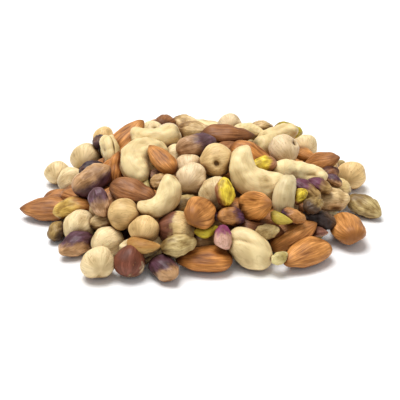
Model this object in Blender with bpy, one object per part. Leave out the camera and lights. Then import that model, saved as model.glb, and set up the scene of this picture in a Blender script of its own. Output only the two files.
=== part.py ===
"""A loose heap of shelled nuts on a flat surface: almonds, cashews, hazelnuts and pistachio kernels."""

import math
from typing import NamedTuple

import bmesh
import bpy
import numpy as np

MM = 0.001
SEED = 41

# The heap: its height, its reach in eight directions anticlockwise from +X, and how flat its top is.
HEAP_HEIGHT = 30 * MM
HEAP_REACH = [reach * MM for reach in (77, 79, 75, 78, 75, 80, 68, 76)]
TOP_FLATNESS = 2.7

# The view in which the nuts that show are placed: from the front, -Y, and looking down by VIEW_SLOPE.
# The picture is square, its pixels run right and down, and its middle falls on AIM.
PICTURE_PIXELS = 400
VIEW_SLOPE = math.radians(27)
VIEW_DISTANCE = 400 * MM
LENS_TO_SENSOR = 80 / 36
AIM = np.array([-0.5 * MM, 0.3 * MM, 0.0])

# The core inside the nuts: a low dome through the outer nuts' middles, with a flat underside.
CORE_RINGS = 7
CORE_SPOKES = 30
CORE_EDGE_HEIGHT = 2.5 * MM
CORE_EDGE_INSET = 2.5 * MM
CORE_RISE = 1.5 * MM
CORE_SMOOTHING = 8 * MM
CORE_KEEPS_UNDER = 5 * MM
CORE_EDGE_WINDOW = 13 * MM
CORE_BARE_INSET = 8 * MM
LEAST_CLEARANCE = 0.15 * MM
MERGE_DISTANCE = 0.002 * MM

# A nut that stands this share of its half thickness over the core, or this far beyond its edge, is held
# to it by a stem inside the heap, which runs this far in.
STEM_OVER = 1.2
STEM_BEYOND = 2.5 * MM
STEM_RUN = 16 * MM
STEM_RADIUS = 1.1 * MM
STEM_SIDES = 3

# A facetted nut is this much fatter, so that its facets lie against the round nut from outside.
FACET_SWELL = 1.13

# A nut on the heap lies along its slope where the heap is high, and flat where it is low.
NORMAL_STEP = 4 * MM
FULL_SLOPE = 0.75
SLOPE_RISES_OVER = 20 * MM
FLAT_SHARE = 0.35

# How the nuts settle against each other: a nut that shows is held to its sight line in all but the
# last rounds, and is heavier than an unseen one. A nut within FLOOR_CATCH of the floor comes down to it.
SETTLING_ROUNDS = 160
FREE_ROUNDS = 5
SEEN_WEIGHT = 8.0
PUSH = 1.5
FLOOR_CATCH = 3.5 * MM
FLOOR_PULL = 0.2
HOLD_ACROSS_VIEW = 0.2
HOLD_IN_DEPTH = 0.012
HOLD_UNSEEN = 0.06
GIVE = 0.96
NEIGHBOURS_WITHIN = 42 * MM

# The spheres that a nut settles with: where they lie along it, and how far its wide sides stand out.
OUTER_SPHERE = 0.8
SIDE_SPHERE_REACH = 0.9
ROUND_WITHIN = 0.6 * MM
LEAST_FULLNESS = 0.1

# The nuts added where the picture shows none, largest first, and how near each other they may be.
FILL = (("cashew", 8), ("almond", 11), ("hazelnut", 11), ("pistachio", 12))
FILL_DARTS = 3000
FILL_CROWDING = 0.66
FILL_INSET = 7 * MM
FILL_DIP = 14
FILL_ROLL = 25
FILL_SIZES = (0.94, 1.06)

# An added nut stands before none that shows, by this share of how far both reach, and all of it up to
# this share of its spheres' radius over their middles is hidden. The heap's shade is searched in steps.
HIDES_WITHIN = 0.7
SHOWS_ABOVE = 0.7
SHADOW_STEP = 4 * MM
SHADOW_REACH = 60 * MM
CROWDED_WITHIN = 4 * MM
CLEAR_BEYOND = 30 * MM
UNSEEN_INSET = 4 * MM

# A sight line is searched in steps over this share of the view's distance, and stops at the heap
# where it is this far inside its reach.
SIGHT_SHARES = (0.6, 1.4)
SIGHT_STEP = 0.5 * MM
SIGHT_INSET = 5 * MM
LEAST_FACING = 0.35
BENT_DEPTH = 0.66

NUT_BROWN = (0.62, 0.42, 0.22, 1.0)


class Kind(NamedTuple):
    """A kind of nut: its size, how round its two ends are, and the radius and half sweep of a bent spine."""

    length: float
    width: float
    thickness: float
    blunt_end: float
    tip_end: float
    rings: tuple
    sides: int
    spheres: int
    bend: float = 0.0
    sweep: float = 0.0


KINDS = {
    "almond": Kind(23 * MM, 13.2 * MM, 8.8 * MM, 0.5, 0.75, (0.09, 0.40, 0.82), 7, 3),
    "cashew": Kind(
        25 * MM, 12.0 * MM, 11.0 * MM, 0.36, 0.5, (0.05, 0.24, 0.50, 0.76, 0.95), 7, 5,
        bend=8.2 * MM, sweep=math.radians(100),
    ),
    "curl": Kind(21 * MM, 15 * MM, 12.5 * MM, 0.42, 0.46, (0.07, 0.30, 0.70, 0.93), 8, 3),
    "hazelnut": Kind(13.8 * MM, 13.6 * MM, 13.2 * MM, 0.5, 0.56, (0.11, 0.46, 0.85), 7, 1),
    "pistachio": Kind(16 * MM, 10 * MM, 9 * MM, 0.5, 0.62, (0.10, 0.45, 0.86), 6, 3),
    "sliver": Kind(10 * MM, 5.2 * MM, 3.4 * MM, 0.5, 0.7, (0.2, 0.75), 5, 3),
    "chip": Kind(10 * MM, 7.0 * MM, 5.0 * MM, 0.4, 0.5, (0.2, 0.8), 5, 1),
}


class Seen(NamedTuple):
    """A nut that shows in the picture: the pixel of its middle, and how it lies there.

    turn is the picture angle of its tip in degrees. lift is how far it stands out of the heap, in
    millimetres. lean is 0 where it lies flat on the slope and 1 where its broad side faces the viewer.
    dip raises its tip out of that plane, and roll turns it about its length, both in degrees.
    """

    kind: str
    across: float
    down: float
    turn: float = 0
    lift: float = 0
    lean: float = 0
    dip: float = 0
    roll: float = 0
    size: float = 1


LEFT_SIDE = [
    Seen("almond", 48, 210, turn=180, lift=1),
    Seen("almond", 62, 197, turn=8, lift=-3, size=0.85),
    Seen("almond", 76, 197, turn=-15, lift=-3, size=0.9),
    Seen("pistachio", 72, 209, turn=190, lift=2, lean=0.4),
    Seen("pistachio", 58.5, 227.5, turn=60, lift=-1, size=0.8),
    Seen("hazelnut", 80, 220, turn=60, size=0.97),
    Seen("pistachio", 76, 243, turn=205, lift=1),
    Seen("hazelnut", 57.5, 173, turn=100, size=0.84),
    Seen("hazelnut", 71, 179, turn=20, size=0.95),
    Seen("hazelnut", 87, 157, turn=80, lift=2, size=1.1),
    Seen("pistachio", 91, 168, turn=20, lift=-3, size=0.7),
    Seen("pistachio", 94, 185.5, turn=35, lift=3, lean=0.8, size=1.2),
    Seen("pistachio", 101, 203, turn=-70, lift=2, lean=0.7, size=0.8),
    Seen("almond", 113, 195, turn=40, lift=-2),
    Seen("almond", 117, 172, turn=85, lift=-4, lean=0.8, roll=80, size=0.8),
    Seen("pistachio", 104, 221, turn=10, lift=-2, size=0.85),
]
FRONT_SIDE = [
    Seen("hazelnut", 107, 240, turn=30, size=0.95),
    Seen("hazelnut", 98, 262.5, turn=120, size=0.95),
    Seen("hazelnut", 130.5, 262.5, turn=80, lean=0.8, size=0.87),
    Seen("chip", 126, 246.5, turn=30, size=0.8),
    Seen("pistachio", 122, 231, turn=80, lift=-6, size=0.8),
    Seen("pistachio", 166, 264.5, turn=-35, lift=1),
    Seen("almond", 203, 261, turn=180),
    Seen("pistachio", 177, 247, turn=12, lift=2, lean=0.5, size=0.9),
    Seen("sliver", 146, 245, turn=-8, lift=1, size=1.35),
    Seen("hazelnut", 142.6, 228.5, turn=75, lift=1, size=0.87),
    Seen("hazelnut", 175, 229, turn=180, lift=2, lean=0.6, size=1.08),
    Seen("hazelnut", 126.5, 214.5, lift=1, lean=0.6, size=0.93),
    Seen("sliver", 207, 230, turn=15, lift=2),
    Seen("chip", 223.5, 238.5, turn=90, lift=1, lean=0.8, size=1.1),
    Seen("pistachio", 206, 243, turn=5, lift=-2),
    Seen("curl", 250, 247, turn=-40, lift=2, lean=0.5, size=0.97),
    Seen("chip", 279, 257, turn=40, lift=1, size=0.8),
    Seen("almond", 294, 236, turn=15, lean=0.3, dip=25, size=0.95),
    Seen("almond", 305, 249, turn=200, lift=4),
    Seen("almond", 345, 228.5, turn=100, lean=0.9, dip=-62, size=1.1),
    Seen("chip", 267, 231, turn=20),
    Seen("almond", 257, 228, turn=-10, lift=-4),
    Seen("chip", 319, 232, turn=10, lift=1, size=0.8),
]
MIDDLE = [
    Seen("cashew", 161.5, 202, turn=-135, lift=3, lean=0.85, size=0.82),
    Seen("almond", 133.5, 194.5, turn=-20, lift=1, lean=0.3, size=0.95),
    Seen("cashew", 141, 158, turn=62, lift=2, lean=0.75, dip=-30, size=1.1),
    Seen("almond", 162, 159, turn=130, lift=4, lean=0.75, dip=-15, roll=50, size=0.82),
    Seen("pistachio", 165, 182, turn=5, lift=1, size=0.75),
    Seen("hazelnut", 194, 180, turn=60, lift=3),
    Seen("hazelnut", 189, 167, turn=90, lift=-1),
    Seen("pistachio", 195, 195, lift=-2),
    Seen("pistachio", 182, 207, turn=20, lift=-2),
    Seen("hazelnut", 213, 192, turn=100, lift=3, size=1.05),
    Seen("pistachio", 224, 193, turn=95, lift=3, lean=1, size=0.8),
    Seen("almond", 203.5, 211, turn=40, lift=2, lean=1, dip=-62, size=0.95),
    Seen("almond", 255, 208, turn=10, lift=3, lean=1, dip=62, size=0.95),
    Seen("pistachio", 229, 217, turn=190, lean=0.5, dip=30, size=0.8),
    Seen("cashew", 254, 176, turn=140, lift=5, lean=0.9, size=1.12),
    Seen("pistachio", 263.5, 166, turn=195, lift=1, lean=0.5, size=0.72),
    Seen("almond", 254, 158, turn=-28, lift=2, lean=0.5),
    Seen("hazelnut", 213.7, 162, turn=-170, lift=3, lean=0.5, size=1.04),
    Seen("almond", 229, 150, turn=20, lift=-2),
    Seen("cashew", 298, 173, turn=-8, lift=3, lean=0.6, roll=-65),
    Seen("cashew", 283, 196, turn=80, lift=1, lean=0.9, roll=65, size=0.78),
    Seen("pistachio", 299, 196.5, turn=45, lift=-1, lean=0.5, size=0.55),
    Seen("pistachio", 306, 191, turn=-28, lift=2, lean=0.5, size=0.85),
    Seen("pistachio", 319, 186, turn=-20, lift=2, size=0.72),
    Seen("pistachio", 293, 216, turn=-20, lift=2, size=0.65),
    Seen("sliver", 281, 218, turn=-25, lift=3),
    Seen("pistachio", 312, 206, turn=30, lift=2, size=0.7),
    Seen("pistachio", 320, 220.5, turn=-15, lift=3, lean=0.3, size=0.9),
    Seen("pistachio", 332, 199, lift=2, lean=0.3, size=1.1),
]
BACK_SIDE = [
    Seen("hazelnut", 172, 135, turn=90, lift=3, size=0.95),
    Seen("almond", 164, 122, turn=80, size=0.8),
    Seen("hazelnut", 152, 133, turn=-140, lift=3, lean=0.3, size=0.85),
    Seen("cashew", 156, 143, turn=180, lift=1, lean=0.3, size=0.92),
    Seen("hazelnut", 175, 154, turn=10, lift=-1),
    Seen("almond", 127, 140, turn=50, lift=3, lean=0.7),
    Seen("pistachio", 138, 127, turn=10, size=0.5),
    Seen("hazelnut", 104, 136, turn=80, size=0.84),
    Seen("pistachio", 99, 143, turn=90, lift=2, size=0.7),
    Seen("cashew", 111, 151.5, turn=-75, lift=1, lean=0.6, roll=60, size=0.68),
    Seen("pistachio", 193, 131, turn=-5, lift=2, size=1.1),
    Seen("pistachio", 197, 150, turn=15, lift=4, lean=0.6, size=1.1),
    Seen("almond", 229, 136, lift=3, size=1.05),
    Seen("hazelnut", 229, 125, turn=90, lift=1, size=0.85),
    Seen("cashew", 250, 132, lift=-7, size=0.6),
    Seen("pistachio", 262, 129, turn=5, size=0.8),
    Seen("cashew", 272, 138, turn=30, lift=2, lean=0.6, roll=-60),
    Seen("hazelnut", 283.5, 150.5, turn=-60, lift=4, lean=0.5),
    Seen("pistachio", 288, 131, turn=-10, lift=1, size=0.9),
    Seen("pistachio", 293, 138, turn=60, lift=-2),
    Seen("hazelnut", 304.5, 146, turn=90, lift=1, size=0.95),
    Seen("almond", 322, 163, turn=-15, lift=1, lean=0.5, dip=50, size=0.85),
    Seen("pistachio", 330, 173, turn=10, lift=-3, size=0.7),
    Seen("pistachio", 340, 167, turn=60, lift=-1, size=0.7),
    Seen("hazelnut", 351, 175, turn=45),
    Seen("pistachio", 333, 181, turn=-30, size=0.55),
    Seen("pistachio", 363, 204.5, turn=-30, lean=0.3, size=1.05),
]


class Nut:
    """One nut as it lies: its kind, its size against that kind's, its middle and its turning."""

    def __init__(self, kind, size, middle, turning, seen):
        self.kind = KINDS[kind]
        self.size = size
        self.middle = middle
        self.turning = turning
        self.seen = seen

    def reach_along(self, direction):
        """Half of the nut's extent along a direction, read as that of an ellipsoid."""
        kind = self.kind
        depth = kind.width if not kind.bend else BENT_DEPTH * kind.length
        halves = np.array([kind.length, depth, kind.thickness]) / 2
        return self.size * np.linalg.norm(halves * (direction @ self.turning))


def unit(vector):
    return vector / np.linalg.norm(vector)


TO_RIGHT = np.array([1.0, 0.0, 0.0])
TO_VIEWER = np.array([0.0, -math.cos(VIEW_SLOPE), math.sin(VIEW_SLOPE)])
PICTURE_UP = np.array([0.0, math.sin(VIEW_SLOPE), math.cos(VIEW_SLOPE)])
UP = np.array([0.0, 0.0, 1.0])


def reach_at(x, y):
    """The heap's reach in the direction of a point, eased from one of the eight directions to the next."""
    eighths = (math.atan2(y, x) / (math.pi / 4)) % 8
    low = int(eighths) % 8
    ease = (1 - math.cos(math.pi * (eighths - int(eighths)))) / 2
    return HEAP_REACH[low] * (1 - ease) + HEAP_REACH[(low + 1) % 8] * ease


def heap_top(x, y):
    """The height of the heap's outside over a point of the floor."""
    share = math.hypot(x, y) / reach_at(x, y)
    return HEAP_HEIGHT * max(0.0, 1 - share**TOP_FLATNESS)


def slope_normal(x, y):
    """The way the heap's outside faces, nearer to straight up over the low edge, where nuts lie flat."""
    step = NORMAL_STEP
    fall_x = (heap_top(x + step, y) - heap_top(x - step, y)) / (2 * step)
    fall_y = (heap_top(x, y + step) - heap_top(x, y - step)) / (2 * step)
    steepness = FULL_SLOPE * min(1.0, max(0.0, heap_top(x, y) / SLOPE_RISES_OVER - FLAT_SHARE))
    return unit(np.array([-fall_x * steepness, -fall_y * steepness, 1.0]))


def turning_of(normal, along, dip, roll):
    """The axes of a nut, as columns: its length, its width and its thickness."""
    across = np.cross(normal, along)
    raise_tip = math.radians(dip)
    length = along * math.cos(raise_tip) + normal * math.sin(raise_tip)
    upper = normal * math.cos(raise_tip) - along * math.sin(raise_tip)
    rolled = math.radians(roll)
    width = across * math.cos(rolled) + upper * math.sin(rolled)
    thickness = upper * math.cos(rolled) - across * math.sin(rolled)
    return np.column_stack([length, width, thickness])


def turning_in_view(spot, x, y):
    """The turning of a nut that shows at a picture angle, over a point of the floor."""
    normal = unit(slope_normal(x, y) * (1 - spot.lean) + TO_VIEWER * spot.lean)
    angle = math.radians(spot.turn)
    wanted = TO_RIGHT * math.cos(angle) + PICTURE_UP * math.sin(angle)
    facing = max(LEAST_FACING, float(TO_VIEWER @ normal))
    along = wanted - TO_VIEWER * float(wanted @ normal) / facing
    along = unit(along - normal * float(along @ normal))
    return turning_of(normal, along, spot.dip, spot.roll)


def place_seen(spot):
    """A nut on the sight line of its pixel, where that first meets the heap, or passes nearest to it."""
    middle = PICTURE_PIXELS / 2
    focal = PICTURE_PIXELS * LENS_TO_SENSOR
    sight = TO_RIGHT * (spot.across - middle) + PICTURE_UP * (middle - spot.down) - TO_VIEWER * focal
    sight = unit(sight)
    eye = AIM + TO_VIEWER * VIEW_DISTANCE
    half = KINDS[spot.kind].thickness / 2 * spot.size
    nearest, best = None, math.inf
    start, end = (share * VIEW_DISTANCE for share in SIGHT_SHARES)
    for distance in np.arange(start, end, SIGHT_STEP):
        point = eye + sight * distance
        x, y = float(point[0]), float(point[1])
        inside = math.hypot(x, y) < reach_at(x, y) - SIGHT_INSET
        height = max(heap_top(x, y) - half, half)
        above = point[2] - height
        if above <= 0 and (inside or y < 0):
            nearest = point
            break
        if inside and above < best:
            nearest, best = point, above
    turning = turning_in_view(spot, float(nearest[0]), float(nearest[1]))
    lifted = nearest - sight * spot.lift * MM
    return Nut(spot.kind, spot.size, lifted, turning, True)


def random_nut(kind, random):
    """A nut lying anywhere on the heap."""
    angle, share = random.uniform(0, 2 * math.pi), math.sqrt(random.uniform(0, 1))
    heading = random.uniform(0, 2 * math.pi)
    dip, roll = random.normal(0, FILL_DIP), random.normal(0, FILL_ROLL)
    size = random.uniform(*FILL_SIZES)
    x, y = math.cos(angle), math.sin(angle)
    reach = (reach_at(x, y) - FILL_INSET) * share
    x, y = x * reach, y * reach
    normal = slope_normal(x, y)
    half = KINDS[kind].thickness / 2 * size
    middle = np.array([x, y, max(heap_top(x, y) - half, half)])
    along = unit(np.cross(normal, [math.cos(heading), math.sin(heading), 0.3]))
    return Nut(kind, size, middle, turning_of(normal, along, dip, roll), False)


def fill_bare_places(nuts, random):
    """Adds nuts by chance where the ones that show leave the heap bare and hide what lies there."""
    screens = screens_of(nuts)
    for kind, wanted in FILL:
        for _ in range(FILL_DARTS):
            nut = random_nut(kind, random)
            clear = wanted > 0 and not any(crowded(nut, other) or hides(nut, other) for other in nuts)
            if clear and hidden(nut, screens):
                nuts.append(nut)
                wanted -= 1


def hides(nut, other):
    """Whether a nut stands before one that shows: nearer to the viewer, and little aside of it."""
    apart = other.middle - nut.middle
    behind = float(apart @ TO_VIEWER)
    if behind > 0 or not other.seen:
        return False
    aside = apart - behind * TO_VIEWER
    distance = max(float(np.linalg.norm(aside)), SIGHT_STEP)
    direction = aside / distance
    return distance < HIDES_WITHIN * (nut.reach_along(direction) + other.reach_along(direction))


def screens_of(nuts):
    """The spheres of the nuts that show, where they lie."""
    return np.vstack([spheres_in(nut) + [*nut.middle, 0.0] for nut in nuts if nut.seen])


def hidden(nut, screens):
    """Whether the heap, or the spheres of the nuts that show, hide the whole of a nut from the viewer."""
    rows = spheres_in(nut) + [*nut.middle, 0.0]
    tops = rows[:, :3] + UP * rows[:, 3:] * SHOWS_ABOVE
    apart = screens[:, None, :3] - tops
    nearer = apart @ TO_VIEWER
    aside = np.linalg.norm(apart - nearer[:, :, None] * TO_VIEWER, axis=2)
    covered = ((nearer > 0) & (aside < screens[:, None, 3])).any(axis=0)
    return all(under or behind_heap(top) for under, top in zip(covered, tops))


def behind_heap(point):
    """Whether the heap rises between a point and the viewer."""
    sights = [point + TO_VIEWER * distance for distance in np.arange(SHADOW_STEP, SHADOW_REACH, SHADOW_STEP)]
    return any(heap_top(float(x), float(y)) > z for x, y, z in sights)


def crowded(nut, other):
    """Whether two nuts are too near each other, by how far each reaches towards the other."""
    apart = other.middle - nut.middle
    distance = np.linalg.norm(apart)
    if distance > CLEAR_BEYOND:
        return False
    if distance < CROWDED_WITHIN:
        return True
    direction = apart / distance
    return distance < FILL_CROWDING * (nut.reach_along(direction) + other.reach_along(direction))


def spheres_in(nut):
    """Spheres that fill a nut, as rows of x, y, z and radius about its middle."""
    kind = nut.kind
    rows = []
    half_length, half_width, half_thickness = kind.length / 2, kind.width / 2, kind.thickness / 2
    stations = np.linspace(-OUTER_SPHERE, OUTER_SPHERE, kind.spheres) if kind.spheres > 1 else [0.0]
    for station in stations:
        if kind.bend:
            share = (station + 1) / 2
            rows.append([*spine(kind, share)[0], half_thickness * plumpness(kind, share)])
            continue
        x = station * (half_length**2 - half_thickness**2) / half_length
        fullness = max(LEAST_FULLNESS, 1 - (x / half_length) ** 2)
        radius = half_thickness * math.sqrt(fullness)
        aside = SIDE_SPHERE_REACH * max(0.0, half_width * math.sqrt(fullness) - radius)
        if aside < ROUND_WITHIN:
            rows.append([x, 0.0, 0.0, (radius + half_width * radius / half_thickness) / 2])
        else:
            rows.append([x, aside, 0.0, radius])
            rows.append([x, -aside, 0.0, radius])
    rows = np.array(rows) * nut.size
    return np.column_stack([rows[:, :3] @ nut.turning.T, rows[:, 3]])


def settle(nuts):
    """Pushes nuts clear of each other, keeping those that show in their place in the picture."""
    sets = [spheres_in(nut) for nut in nuts]
    owner = np.repeat(np.arange(len(nuts)), [len(rows) for rows in sets])
    offsets, radii = np.vstack(sets)[:, :3], np.vstack(sets)[:, 3]
    home = np.array([nut.middle for nut in nuts])
    seen = np.array([nut.seen for nut in nuts])
    weight = np.where(seen, SEEN_WEIGHT, 1.0)
    depth_hold = np.where(seen, HOLD_IN_DEPTH, HOLD_UNSEEN)[:, None]
    across_hold = np.where(seen, HOLD_ACROSS_VIEW, HOLD_UNSEEN)[:, None]
    first, second = np.triu_indices(len(owner), 1)
    near = np.linalg.norm(home[owner[first]] - home[owner[second]], axis=1) < NEIGHBOURS_WITHIN
    apart = near & (owner[first] != owner[second])
    first, second = first[apart], second[apart]
    touching = GIVE * (radii[first] + radii[second])
    share = weight[owner[second]] / (weight[owner[first]] + weight[owner[second]])
    low = np.array([(rows[:, 2] - rows[:, 3]).min() for rows in sets])
    places = home.copy()
    for round_number in range(SETTLING_ROUNDS):
        held = 1.0 if round_number < SETTLING_ROUNDS - FREE_ROUNDS else 0.0
        centres = places[owner] + offsets
        between = centres[first] - centres[second]
        distance = np.maximum(np.linalg.norm(between, axis=1), 1e-6)
        overlap = np.maximum(0.0, touching - distance)
        hit = overlap > 0
        push = between[hit] / distance[hit, None] * overlap[hit, None]
        moves, counts = np.zeros_like(places), np.zeros(len(nuts))
        np.add.at(moves, owner[first[hit]], push * share[hit, None])
        np.add.at(moves, owner[second[hit]], -push * (1 - share[hit, None]))
        np.add.at(counts, owner[first[hit]], 1)
        np.add.at(counts, owner[second[hit]], 1)
        places += moves / np.maximum(counts, 1)[:, None] * PUSH
        back = home - places
        depth = (back @ TO_VIEWER)[:, None] * TO_VIEWER
        places += held * (depth * depth_hold + (back - depth) * across_hold)
        gap = places[:, 2] + low
        places[:, 2] -= np.where(gap < 0, gap, np.where(gap < FLOOR_CATCH, FLOOR_PULL * gap, 0.0))
    for nut, place in zip(nuts, places):
        nut.middle = np.round(place, 5)


def in_heap(nut):
    """Whether a nut has its middle well inside the heap's reach."""
    x, y = float(nut.middle[0]), float(nut.middle[1])
    return math.hypot(x, y) < reach_at(x, y) - UNSEEN_INSET


def lay_out_heap():
    """Every nut of the outside of the heap, settled, without the unseen ones that were pushed into sight."""
    nuts = [place_seen(spot) for spot in LEFT_SIDE + FRONT_SIDE + MIDDLE + BACK_SIDE]
    fill_bare_places(nuts, np.random.default_rng(SEED))
    settle(nuts)
    screens = screens_of(nuts)
    shown = [nut for nut in nuts if nut.seen]
    return shown + [
        nut for nut in nuts[len(shown):]
        if in_heap(nut) and hidden(nut, screens) and not any(hides(nut, other) for other in shown)
    ]


def plumpness(kind, share):
    """A nut's thickness at a share of its length from the blunt end, against its greatest."""
    fullest = kind.blunt_end / (kind.blunt_end + kind.tip_end)
    most = fullest**kind.blunt_end * (1 - fullest) ** kind.tip_end
    return share**kind.blunt_end * (1 - share) ** kind.tip_end / most


def spine(kind, share):
    """The middle of a nut's section at a share of its length, and the way its width runs there."""
    if not kind.bend:
        return np.array([(share - 0.5) * kind.length, 0.0, 0.0]), np.array([0.0, 1.0, 0.0])
    angle = (2 * share - 1) * kind.sweep
    outward = np.array([math.sin(angle), math.cos(angle), 0.0])
    drop = np.array([0.0, (kind.bend + kind.width / 2 + kind.bend * math.cos(kind.sweep)) / 2, 0.0])
    return outward * kind.bend - drop, outward


def nut_points(nut):
    """The nut's points as it lies: one at its blunt end, rings round its spine, and one at its tip."""
    kind = nut.kind
    points = [spine(kind, 0.0)[0]]
    for share in kind.rings:
        middle, outward = spine(kind, share)
        plump = plumpness(kind, share)
        for side in range(kind.sides):
            angle = 2 * math.pi * (side + 0.5) / kind.sides
            wide = outward * math.cos(angle) * kind.width / 2
            thick = UP * math.sin(angle) * kind.thickness / 2
            points.append(middle + (wide + thick) * plump * FACET_SWELL)
    points.append(spine(kind, 1.0)[0])
    placed = np.array(points) * nut.size @ nut.turning.T + nut.middle
    lowest = placed[:, 2].min()
    if lowest < LEAST_CLEARANCE:
        placed[:, 2] += LEAST_CLEARANCE - lowest
    return placed


def nut_faces(kind):
    """The faces over a nut's points, as rows of point numbers."""
    rings, sides = len(kind.rings), kind.sides
    tip = rings * sides + 1
    faces = []
    for side in range(sides):
        after = (side + 1) % sides
        faces.append([0, 1 + after, 1 + side])
        last = 1 + (rings - 1) * sides
        faces.append([tip, last + side, last + after])
        for ring in range(rings - 1):
            here, beyond = 1 + ring * sides, 1 + (ring + 1) * sides
            faces.append([here + side, here + after, beyond + after, beyond + side])
    return faces


def closed_object(name, points, faces):
    """An object of a closed mesh, with its faces pointing out."""
    mesh = bpy.data.meshes.new(name)
    mesh.from_pydata([tuple(point) for point in points], [], faces)
    shape = bmesh.new()
    shape.from_mesh(mesh)
    bmesh.ops.triangulate(shape, faces=shape.faces)
    bmesh.ops.recalc_face_normals(shape, faces=shape.faces)
    shape.to_mesh(mesh)
    shape.free()
    return bpy.data.objects.new(name, mesh)


def core_edges(middles):
    """The core's reach along each spoke: out to the nuts' middles there, eased, and a little inside them."""
    headings = np.arctan2(middles[:, 1], middles[:, 0])
    reaches = np.hypot(middles[:, 0], middles[:, 1])
    edges = []
    for spoke in range(CORE_SPOKES):
        heading = 2 * math.pi * spoke / CORE_SPOKES
        aside = np.abs((headings - heading + math.pi) % (2 * math.pi) - math.pi) * reaches
        bare = reach_at(math.cos(heading), math.sin(heading)) - CORE_BARE_INSET
        edges.append(max(reaches[aside < CORE_EDGE_WINDOW], default=bare))
    return [
        (edges[spoke - 1] + edges[spoke] + edges[(spoke + 1) % CORE_SPOKES]) / 3 - CORE_EDGE_INSET
        for spoke in range(CORE_SPOKES)
    ]


def core_height(middles, x, y):
    """The core's height over a point: that of the nuts' middles near it, the lower ones counting more."""
    away = ((middles[:, 0] - x) ** 2 + (middles[:, 1] - y) ** 2) / (2 * CORE_SMOOTHING**2)
    weights = np.exp(-away - middles[:, 2] / CORE_KEEPS_UNDER)
    return max(CORE_EDGE_HEIGHT, float(weights @ middles[:, 2]) / float(weights.sum()) + CORE_RISE)


def core_object(nuts):
    """The core: a dome whose edge and height follow the middles of the nuts round it."""
    middles = np.array([nut.middle for nut in nuts])
    edges = core_edges(middles)
    points = [(0.0, 0.0, core_height(middles, 0.0, 0.0))]
    for ring in range(1, CORE_RINGS + 1):
        for spoke, edge in enumerate(edges):
            heading = 2 * math.pi * spoke / CORE_SPOKES
            reach = edge * ring / CORE_RINGS
            x, y = reach * math.cos(heading), reach * math.sin(heading)
            points.append((x, y, core_height(middles, x, y) if ring < CORE_RINGS else CORE_EDGE_HEIGHT))
    rim = 1 + (CORE_RINGS - 1) * CORE_SPOKES
    foot = len(points)
    points += [(x, y, 0.0) for x, y, _ in points[rim:rim + CORE_SPOKES]]
    faces = [[foot + spoke for spoke in reversed(range(CORE_SPOKES))]]
    for spoke in range(CORE_SPOKES):
        after = (spoke + 1) % CORE_SPOKES
        faces.append([0, 1 + spoke, 1 + after])
        faces.append([rim + spoke, foot + spoke, foot + after, rim + after])
        for ring in range(CORE_RINGS - 1):
            here, beyond = 1 + ring * CORE_SPOKES, 1 + (ring + 1) * CORE_SPOKES
            faces.append([here + spoke, beyond + spoke, beyond + after, here + after])
    return closed_object("nut_heap", points, faces)


def needs_stem(nut, middles, edges):
    """Whether a nut stands clear of the core."""
    x, y, height = (float(value) for value in nut.middle)
    spoke = round(math.atan2(y, x) / (2 * math.pi) * CORE_SPOKES) % CORE_SPOKES
    over = height - core_height(middles, x, y)
    half = nut.kind.thickness / 2 * nut.size
    return over > STEM_OVER * half or math.hypot(x, y) > edges[spoke] + STEM_BEYOND


def stem_object(nut, middles):
    """A thin bar from the middle of a nut to the inside of the core."""
    x, y = float(nut.middle[0]), float(nut.middle[1])
    inward = 1 - STEM_RUN / math.hypot(x, y)
    foot = np.array([x * inward, y * inward, core_height(middles, x * inward, y * inward) / 2])
    run = unit(foot - nut.middle)
    aside = unit(np.cross(run, UP))
    above = np.cross(aside, run)
    points = []
    for end in (nut.middle, foot):
        for side in range(STEM_SIDES):
            angle = 2 * math.pi * side / STEM_SIDES
            points.append(end + (aside * math.cos(angle) + above * math.sin(angle)) * STEM_RADIUS)
    sides = [
        [side, (side + 1) % STEM_SIDES, STEM_SIDES + (side + 1) % STEM_SIDES, STEM_SIDES + side]
        for side in range(STEM_SIDES)
    ]
    ends = [list(range(STEM_SIDES)), list(range(STEM_SIDES, 2 * STEM_SIDES))]
    return closed_object("stem", points, sides + ends)


def fuse(core, pieces):
    """Joins the pieces onto the core with one Boolean union, and removes them."""
    helpers = bpy.data.collections.new("pieces")
    bpy.context.scene.collection.children.link(helpers)
    for piece in pieces:
        helpers.objects.link(piece)
    union = core.modifiers.new("union", "BOOLEAN")
    union.operation = "UNION"
    union.operand_type = "COLLECTION"
    union.collection = helpers
    union.solver = "EXACT"
    union.use_self = True
    bpy.context.view_layer.objects.active = core
    bpy.ops.object.modifier_apply(modifier=union.name)
    for piece in pieces:
        bpy.data.objects.remove(piece)
    bpy.data.collections.remove(helpers)


def keep_largest_shell(thing):
    """Drops the loose scraps and the sealed hollows that fusing leaves, which are shells of their own."""
    shape = bmesh.new()
    shape.from_mesh(thing.data)
    bmesh.ops.remove_doubles(shape, verts=shape.verts, dist=MERGE_DISTANCE)
    bmesh.ops.dissolve_degenerate(shape, edges=shape.edges, dist=MERGE_DISTANCE)
    shells, unvisited = [], set(shape.verts)
    while unvisited:
        shell, waiting = set(), [unvisited.pop()]
        while waiting:
            vert = waiting.pop()
            shell.add(vert)
            for edge in vert.link_edges:
                other = edge.other_vert(vert)
                if other in unvisited:
                    unvisited.discard(other)
                    waiting.append(other)
        shells.append(shell)
    largest = max(shells, key=len)
    bmesh.ops.delete(shape, geom=[vert for vert in shape.verts if vert not in largest], context="VERTS")
    bmesh.ops.triangulate(shape, faces=shape.faces)
    shape.to_mesh(thing.data)
    shape.free()


def nut_material():
    """The warm brown that the mixed nuts average to."""
    material = bpy.data.materials.new("mixed nuts")
    material.use_nodes = True
    shader = material.node_tree.nodes["Principled BSDF"]
    shader.inputs["Base Color"].default_value = NUT_BROWN
    shader.inputs["Roughness"].default_value = 0.6
    shader.inputs["Metallic"].default_value = 0.0
    return material


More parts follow.
